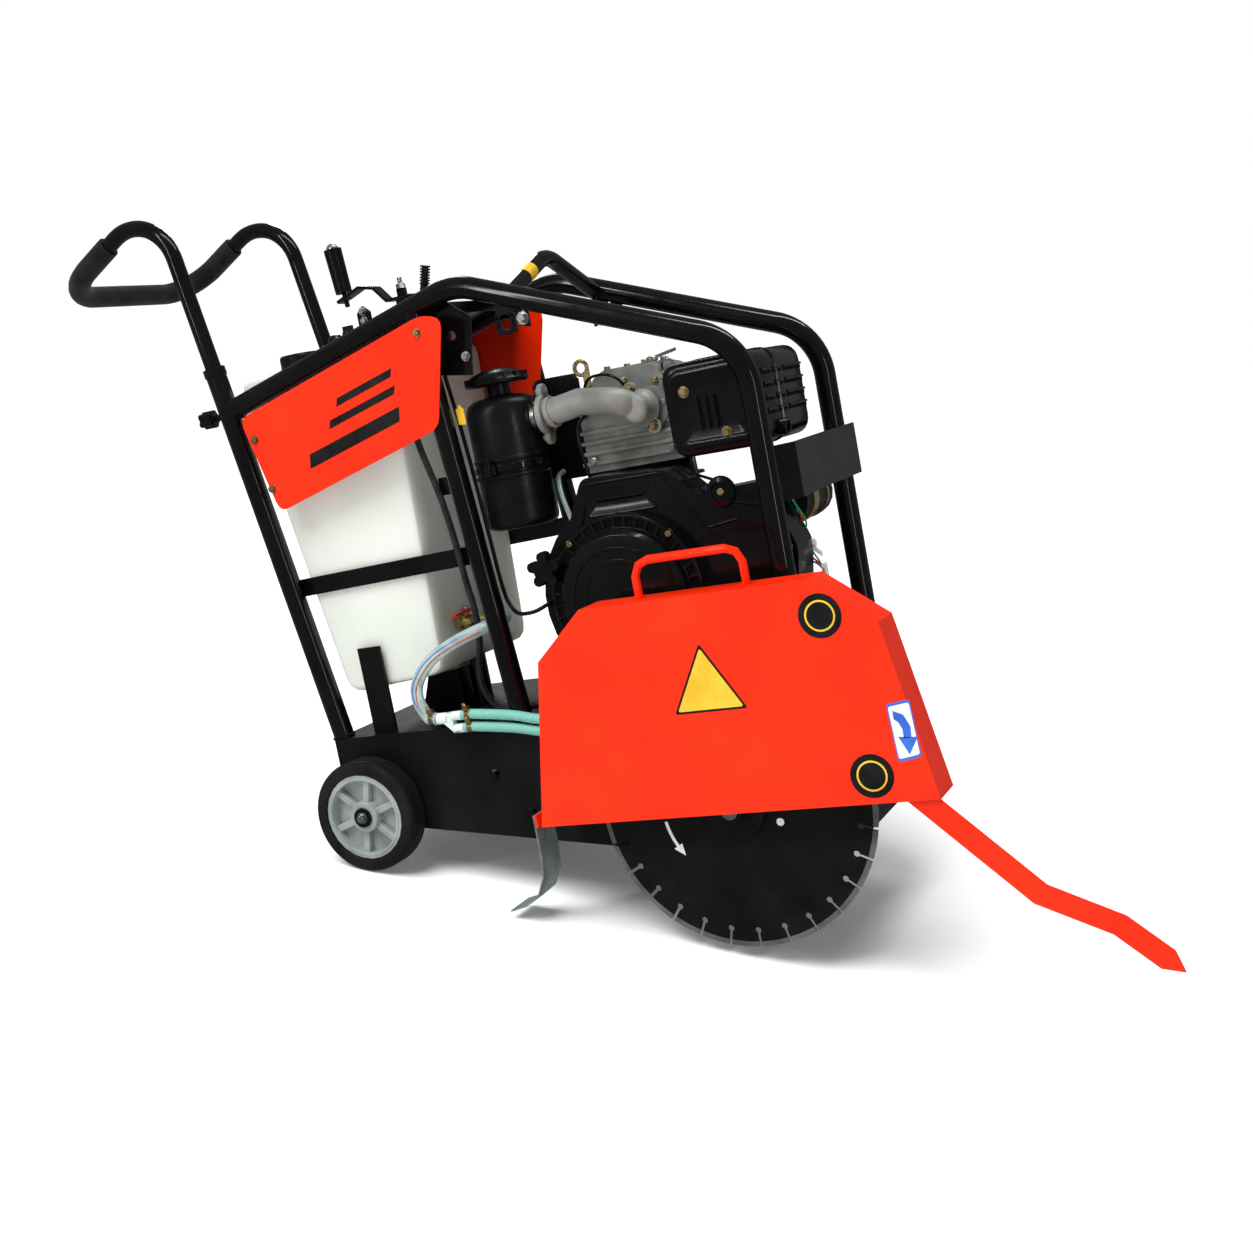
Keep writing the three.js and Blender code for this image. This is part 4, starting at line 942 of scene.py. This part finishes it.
def make_bail():
    x, foot, peak = -236, 731.5, 795
    path = bent_path([(x, -FRAME_Y, foot), (x, 0, peak), (x, FRAME_Y, foot)], 70, 20)
    bail = tube("bail_tube", path, 12, BLACK)
    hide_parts("lifting_bail")
    leg = Vector((0, FRAME_Y, peak - foot)).normalized()
    label = ring(Vector((x, -FRAME_Y, foot)) + leg * 96, leg, 11.9, 12.35, 26)
    piece("bail_band", [label], INK_YELLOW)


# ---- engine ----
def make_recoil_detail():
    """Cooling slots round the starter housing, drawn as fins over a near-black ring of painted shade, its rings
    and its screws.
    """
    x, z = ENGINE
    face = SHROUD_FACE_Y - 19
    # A near-black ring of painted shade behind the fins stands in for the dark inside of the cooling slots.
    piece("recoil_slot_shade", [ring((x, face - 1.6, z), ASIDE, 99.5, 114, 1.6, 96)], SLOT_SHADE)
    fins = []
    for k in range(40):
        out = spoke(2 * math.pi * k / 40)
        fins.append(block(Vector((x, face - 3.2, z)) + out * 106.8, (15.5, 4.2, 4.4), out, ASIDE))
    fins.append(ring((x, face - 3, z), ASIDE, 97.5, 100.5, 6, 96))
    fins.append(ring((x, face - 1.5, z), ASIDE, 113, 118, 6, 96))
    fins.append(ring((x, SHROUD_FACE_Y - 44.8, z), ASIDE, 52, 58, 2.2, 72))
    fins.append(ring((x, SHROUD_FACE_Y - 43.6, z), ASIDE, 72, 75, 2.6, 72))
    piece("recoil_fins", fins, COVER, bevel=0.4)
    screws = [Vector((x, face - 1, z)) + 113 * spoke(math.radians(turn)) for turn in (45, 131, 227, 313)]
    bolts("recoil_screws", screws, OUTWARD, 9, YELLOW_ZINC)


def make_shroud_detail():
    spots = [(23, SHROUD_FACE_Y, 418), (104, SHROUD_FACE_Y, 330), (-252, SHROUD_FACE_Y, 300)]
    bolts("shroud_bolts", spots, OUTWARD, 10, YELLOW_ZINC)
    y = SHROUD_FACE_Y
    rim = [(0, y + 1), (0, y - 1.2), (1, y - 2.2), (3, y - 2.2), (4, y - 1.4), (20, y - 1.4)]
    plate = pillow(-186, -74, 410, 452, 8, rim)
    boss = revolve([(0, 0), (22, 0), (20, 4), (14, 6), (13, 3), (0, 3)], (23, y, 418), OUTWARD, 40)
    piece("shroud_plates", [plate, boss], COVER, sharp=40)
    ridges = [[(-205, 250), (-200, 392), (-178, 458), (-64, 458), (-28, 404), (-8, 372), (40, 378)],
              [(-44, 462), (12, 408), (78, 392)], [(-44, 462), (14, 436), (78, 400)]]
    for k, ridge in enumerate(ridges):
        tube(f"shroud_ridge_{k}", bent_path([(x, y, z) for x, z in ridge], 10, 5), 2.2, COVER)


def make_air_cleaner():
    """Two-part canister with its clamp band, weather cap and rubber outlet."""
    x, y = -309, -88
    bowl = [(0, 412), (44, 412), (50, 414), (53, 418), (54, 424), (54, 486), (56, 488), (56, 492), (54, 494)]
    lid = [(54, 510), (56, 512), (56, 516), (54, 518), (54, 578), (52.5, 588), (48, 597), (40, 602),
           (22, 604.5)]
    cap = [(18, 606), (18, 621), (43, 621), (47, 623.5), (47.5, 627), (44, 632), (34, 638.5), (20, 643),
           (0, 645)]
    shell = revolve(bowl + lid + cap, (x, y, 0), UPRIGHT, 72)
    spout = [(19, 0), (19, 12), (21, 14), (21, 22), (19, 24), (19, 60)]
    outlet = revolve(spout, (x + 30, -91, 566), AHEAD, 40)
    ribs = []
    for k in range(16):
        turn = 2 * math.pi * k / 16
        out = Vector((math.cos(turn), math.sin(turn), 0))
        ribs.append(block(Vector((x, y, 630)) + out * 36, (22, 2.2, 10), out, UPRIGHT))
    skin = piece("air_cleaner_shell", [shell, outlet, *ribs], PLASTIC, sharp=40)
    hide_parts("air_cleaner")
    band = [ring((x, y, 502), UPRIGHT, 53.8, 57.2, 11, 72), block((x - 6, y - 59, 502), (20, 7, 15)),
            block((x - 6, y - 63.5, 506), (9, 3.2, 26))]
    piece("air_cleaner_band", band, BLACK, bevel=0.7)
    piece("outlet_clamp", [ring((x + 58, -91, 566), AHEAD, 18.8, 20.4, 7)], ZINC)


def rimmed(radius, soft, thick):
    """The profile of a disc with its rims taken off."""
    flat = radius - soft
    return [(0, 0), (flat, 0), (radius, soft), (radius, thick - soft), (flat, thick), (0, thick)]


def flange(centre, axis, ear_direction, radius, thick, ear_reach):
    """An oval two-bolt flange."""
    centre = Vector(centre)
    axis = Vector(axis).normalized()
    ear = Vector(ear_direction).normalized()
    parts = [revolve(rimmed(radius, 1.5, thick), centre, axis, 48)]
    for side in (-1, 1):
        parts.append(revolve(rimmed(11, 1, thick), centre + ear * side * ear_reach, axis, 28))
        parts.append(block(centre + ear * side * ear_reach * 0.62 + axis * thick / 2,
                           (ear_reach * 0.75, 19, thick), ear, axis))
    return merged(parts)


def make_elbow():
    """Cast inlet elbow between the air cleaner and the head, with its two flanges."""
    path = bent_path([(-236, -91, 566), (-176, -99, 574), (-118, -104, 566), (-95, -76, 548)], 20)
    pipe = tube("elbow_pipe", path, 19.5, ELBOW_CAST)
    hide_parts("intake_elbow")
    ends = [flange((-242, -91, 566), AHEAD, UPRIGHT, 30, 9, 33),
            flange((-93, -79, 549), ASIDE, (0.45, 0, -0.9), 27, 9, 31)]
    ends.append(ring((-226, -92, 567.5), (1, -0.1, 0.15), 18, 23, 9))
    stub = [(0, 0), (12, 0), (17, 2.5), (20, 8), (20.5, 16), (22, 22), (26, 26), (0, 26)]
    ends.append(revolve(stub, (-95, -104.5, 549), (0.03, 1, 0), 40))
    piece("elbow_flanges", ends, ELBOW_CAST, bevel=0.8, sharp=40)
    inlet = [(-242, -91, 566 + side * 33) for side in (-1, 1)]
    bolts("elbow_inlet_bolts", inlet, (-1, 0, 0), 10, YELLOW_ZINC)
    outlet = [(-93 + side * 13.9, -79, 549 - side * 27.7) for side in (-1, 1)]
    bolts("elbow_outlet_bolts", outlet, OUTWARD, 10, YELLOW_ZINC)
    breather = [(-170, -50, 560), (-176, -108, 548), (-178, -122, 520), (-172, -124, 472)]
    tube("breather_pipe", smooth_path(breather), 2.6, BLACK)


def make_head_detail():
    """Rocker cover bolts, injector, high-pressure pipe, lifting eye and decompression lever."""
    tops = [(x, y, 611.5) for x in (-158, -98) for y in (-28, 42)]
    bolts("rocker_bolts", tops, UPRIGHT, 9, YELLOW_ZINC)
    fronts = [(-172, -44, 584), (-128, -44, 592), (-80, -44, 584)]
    bolts("rocker_side_bolts", fronts, OUTWARD, 8, YELLOW_ZINC)
    holder = [(0, 0), (9, 0), (9, 10), (6, 12), (6, 26), (4, 28), (4, 36), (0, 36)]
    union = [(0, 0), (7, 0), (7, 8), (5, 10), (5, 20), (0, 20)]
    parts = [revolve(holder, (-66, -50, 560), (0.2, -0.3, 1), 6),
             revolve(union, (-112, -52, 566), (0, -0.9, 0.5), 6)]
    piece("injector", parts, ZINC, bevel=0.4, sharp=28)
    supply = [(-60, -60, 596), (-52, -70, 610), (-36, -72, 604), (-30, -70, 560), (-34, -66, 500),
              (-34, -62, 440)]
    tube("injector_pipe", smooth_path(supply), 2.6, ZINC)
    spill = [(-112, -70, 576), (-120, -82, 596), (-146, -76, 606), (-190, -40, 600), (-214, -10, 560),
             (-216, 0, 500)]
    tube("return_pipe", smooth_path(spill), 2.2, BLACK)
    eye = [ring((-203, -22, 622), ASIDE, 7.5, 13, 5), block((-196, -22, 602), (11, 5, 30), (1, 0, 0.3))]
    eye.append(block((-186, -22, 588), (26, 12, 6)))
    piece("lifting_eye", eye, YELLOW_ZINC, bevel=0.6)
    lever = [block((-92, 30, 620), (40, 6, 5), (1, 0.3, 0.2)), ring((-108, 24, 616), UPRIGHT, 3, 9, 8)]
    piece("decompression_lever", lever, ZINC, bevel=0.6)
    studs = [(x, -66, z) for x in (-188, -62) for z in (486, 552)]
    bolts("head_bolts", studs, OUTWARD, 9, ZINC)


def make_muffler():
    """Pressed silencer: rolled edges, a seam, a front plate with three slots, and louvres on its side, with
    near-black painted shade set inside the slots and louvres.
    """
    rolled = [(9, -128), (4, -127), (1.2, -124), (0, -119), (0, -48), (-2, -46.5), (-2, -43), (0, -41.5),
              (0, 56), (1.5, 62), (5, 65), (10, 66)]
    body = pillow(-36, 102, 471, 600, 26, rolled)
    dished = [(0, -127), (0, -131), (1.5, -134.5), (5, -136), (9, -136), (11.5, -134), (12.5, -133.4),
              (30, -133.4)]
    front = pillow(-26, 92, 481, 590, 20, dished)
    outlet = [(8.5, 4), (8.5, 16), (11, 16), (12, 14.5), (12, 0), (0, 0), (0, 4), (8.5, 4)]
    pipes = [revolve([(0, 0), (16, 0), (16, 12), (0, 12)], (-43, 4, 540), AHEAD, 36),
             revolve(outlet, (96, -60, 490), (1, 0, -0.17), 36)]
    openings = [(y, z) for z in (512, 530, 548, 566) for y in (-86, -42, 2, 40)]
    slots = (19, 31, 43)
    slats = [slab(rounded_box_outline(x - 4.4, x - 2.2, 505, 551, 1), -136.4, -133) for x in slots]
    louvres = [block((102.6, y, z + 4.5), (4.4, 37, 3), (1, 0, -0.3)) for y, z in openings]
    skin = piece("muffler_skin", [body, front, *pipes, *slats, *louvres], COVER, sharp=40)
    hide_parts("muffler")
    # Near-black pieces of painted shade inside the front slots and under the louvres.
    dark = [slab(rounded_box_outline(x - 2.2, x + 2.2, 506, 550, 2), -133.8, -133.2) for x in slots]
    dark += [block((102.3, y, z), (0.9, 35, 5)) for y, z in openings]
    piece("muffler_slot_shade", dark, SLOT_SHADE)
    spots = [(-2, -134, 560), (50, -134, 497)]
    bolts("muffler_bolts", spots, OUTWARD, 11, YELLOW_ZINC)


def make_fuel_detail():
    x, y = -278, 36
    ribs = []
    for k in range(24):
        turn = 2 * math.pi * k / 24
        spot = (x + 34 * math.cos(turn), y + 34 * math.sin(turn), 594)
        ribs.append(revolve([(0, 0), (2, 0), (2, 15), (1, 17), (0, 17)], spot, UPRIGHT, 10))
    piece("fuel_cap_ribs", ribs, PLASTIC, "fuel_filler")
    seam = rounded([(-321, 467), (-209, 467), (-203, 588), (-321, 588)], 18)
    piece("fuel_tank_seam", [slab(seam, 49, 52)], COVER, bevel=0.6)
    line = [(-262, -24, 478), (-262, -44, 470), (-256, -54, 440), (-246, -56, 400)]
    tube("fuel_line", smooth_path(line), 4, CLEAR_HOSE)


def make_starter_detail():
    bands = [ring((85, -18, 385), ASIDE, 33.6, 35.6, 20, 56), ring((85, 36, 385), ASIDE, 33.6, 35, 8, 56)]
    piece("starter_bands", bands, YELLOW_ZINC)
    ends = [Vector((85, -55, 385)) + 22 * spoke(turn) for turn in (0.8, 2.4, 4.0, 5.5)]
    bolts("starter_bolts", ends, OUTWARD, 7, ZINC)


def make_left_side_detail():
    """Screws of the belt guard and the crankcase studs on the far side."""
    face = 229
    spots = [(-160, 340), (-95, 330), (-60, 60), (30, -34), (-30, -40), (-185, 270)]
    bolts("belt_guard_bolts", [(x, face, z) for x, z in spots], ASIDE, 10, ZINC)
    x, z = ENGINE
    ribs = [ring((x, face + 0.5, z), ASIDE, 40, 46, 2.4, 64), ring((0, face + 0.5, 0), ASIDE, 30, 36, 2.4, 64)]
    piece("belt_guard_ribs", ribs, BLACK, bevel=0.4)
    case = [(x, 110, z) for x in (-218, -46) for z in (170, 260, 340)]
    bolts("crankcase_bolts", case, ASIDE, 9, ZINC)
    rim = [(0, 108), (0, 112), (2, 114), (10, 114), (12, 112.5), (40, 112.5)]
    cover = pillow(-228, -36, 158, 392, 24, rim)
    neck = [(0, 0), (15, 0), (15, 10), (17, 10), (17, 18), (14, 21), (0, 21)]
    filler = revolve(neck, (-205, 112, 200), (0, 1, 0.3), 10)
    stick = revolve([(0, 0), (8, 0), (8, 8), (11, 8), (11, 13), (0, 13)], (-62, 113, 184), (0, 1, 0.4), 6)
    piece("crankcase_cover", [cover, filler, stick], ENGINE_BLACK, sharp=40)


def make_front_wires():
    """Loose starter wires with their white plugs."""
    for k, ink in enumerate((INK_BLUE, WIRE_RED, WIRE_GREEN)):
        shift = 5 * k
        path = [(96, -50 - shift, 392), (103 + shift, -62, 366 - shift), (100 + shift, -64, 340),
                (112, -60 - shift, 324), (103 + shift, -62, 306 + shift), (120 + 0.4 * shift, -60, 292),
                (128, -58 - 0.5 * shift, 276)]
        tube(f"starter_wire_{k}", smooth_path(path), 1.4, ink)
    plugs = [block((112, -61, 329), (24, 9, 9), (1, 0, -0.6)),
             block((122, -60, 312), (16, 8, 8), (1, 0, -0.9)),
             block((104, -64, 309), (12, 8, 17)), block((127, -58, 283), (8, 8, 20), (1, 0, 0.3)),
             block((100, -62, 322), (7, 12, 12), (1, 0, 0.5))]
    piece("wire_plugs", plugs, INK_WHITE, bevel=0.8)


def make_chassis_bolts():
    for word, side in SIDES:
        y = side * 172
        spots = [(-345, y, 0), (-395, y, 62), (-560, y, 70)]
        bolts(f"chassis_bolts_{word}", spots, (0, side, 0), 12, BLACK)
    engine_feet = [(x, y, 141) for x in (-246, -16) for y in (-40, 90)]
    bolts("engine_foot_bolts", engine_feet, UPRIGHT, 11, ZINC)


def make_valve_detail():
    nut = revolve([(0, 0), (6.5, 0), (6.5, 4), (4, 5), (4, 8), (0, 8)], (-445.8, -75, 300), UPRIGHT, 6)
    piece("valve_nut", [nut], ZINC, "valve_handle", bevel=0.3, sharp=28)


MAKERS = [make_hose_clamps, dress_all, make_cage, make_welds, make_handle, make_tyres, make_hub_webs,
          make_front_hubs, make_blade, make_blade_marks, make_guard_stickers, make_pointer, make_panel_fittings,
          make_panel_stripes, make_console_fittings, make_throttle_fittings, make_rail_lugs, make_bail,
          make_recoil_detail, make_shroud_detail, make_air_cleaner, make_elbow, make_head_detail, make_muffler,
          make_fuel_detail, make_starter_detail, make_left_side_detail, make_front_wires, make_chassis_bolts,
          make_valve_detail]
for make in MAKERS:
    make()


# ---- stage ----
def make_stage():
    floor_mesh = bpy.data.meshes.new("floor")
    half = 12
    corners = [(-half, -half, 0), (half, -half, 0), (half, half, 0), (-half, half, 0)]
    floor_mesh.from_pydata(corners, [], [[0, 1, 2, 3]])
    floor_look = new_material("studio_floor", 0.9, Emission_Color=(1, 1, 1, 1), Emission_Strength=0.1)
    colour_between(floor_look, noise(floor_look, 2), grey(0.93), grey(0.96))
    floor_mesh.materials.append(floor_look)
    floor = bpy.data.objects.new("floor", floor_mesh)
    bpy.context.collection.objects.link(floor)
    floor.visible_glossy = False


def softbox(name, place, target, size, power):
    data = bpy.data.lights.new(name, "AREA")
    data.shape = "RECTANGLE"
    data.size, data.size_y = size
    data.energy = power
    lamp = bpy.data.objects.new(name, data)
    lamp.location = place
    lamp.rotation_euler = (Vector(target) - Vector(place)).to_track_quat("-Z", "Y").to_euler()
    bpy.context.collection.objects.link(lamp)


def make_world():
    """A white room that lights the saw more dimly than it looks."""
    world = bpy.data.worlds.new("studio")
    world.use_nodes = True
    nodes, links = world.node_tree.nodes, world.node_tree.links
    background = nodes["Background"]
    background.inputs["Color"].default_value = (1, 1, 1, 1)
    rays = nodes.new("ShaderNodeLightPath")
    level = nodes.new("ShaderNodeMapRange")
    level.inputs["To Min"].default_value = 0.16
    level.inputs["To Max"].default_value = 1.0
    links.new(rays.outputs["Is Camera Ray"], level.inputs["Value"])
    links.new(level.outputs["Result"], background.inputs["Strength"])
    bpy.context.scene.world = world


def make_lights():
    make_world()
    sun = bpy.data.lights.new("sky_panel", "SUN")
    sun.energy = 3.5
    sun.angle = math.radians(40)
    lamp = bpy.data.objects.new("sky_panel", sun)
    lamp.rotation_euler = (math.radians(28), math.radians(-14), 0)
    lamp.visible_glossy = False
    bpy.context.collection.objects.link(lamp)
    softbox("key", (-1.6, -3.0, 2.0), (0, 0, 0.4), (0.16, 2.4), 20)
    softbox("fill", (3.0, -2.0, 1.4), (0, 0, 0.4), (0.14, 2.2), 10)
    softbox("top", (0.2, 0.3, 3.2), (0, 0, 0.4), (0.22, 2.6), 26)
    softbox("rim", (-2.2, 2.6, 2.0), (0, 0, 0.5), (0.3, 2.2), 16)
    bpy.context.scene.view_settings.view_transform = "Standard"


make_stage()
make_lights()
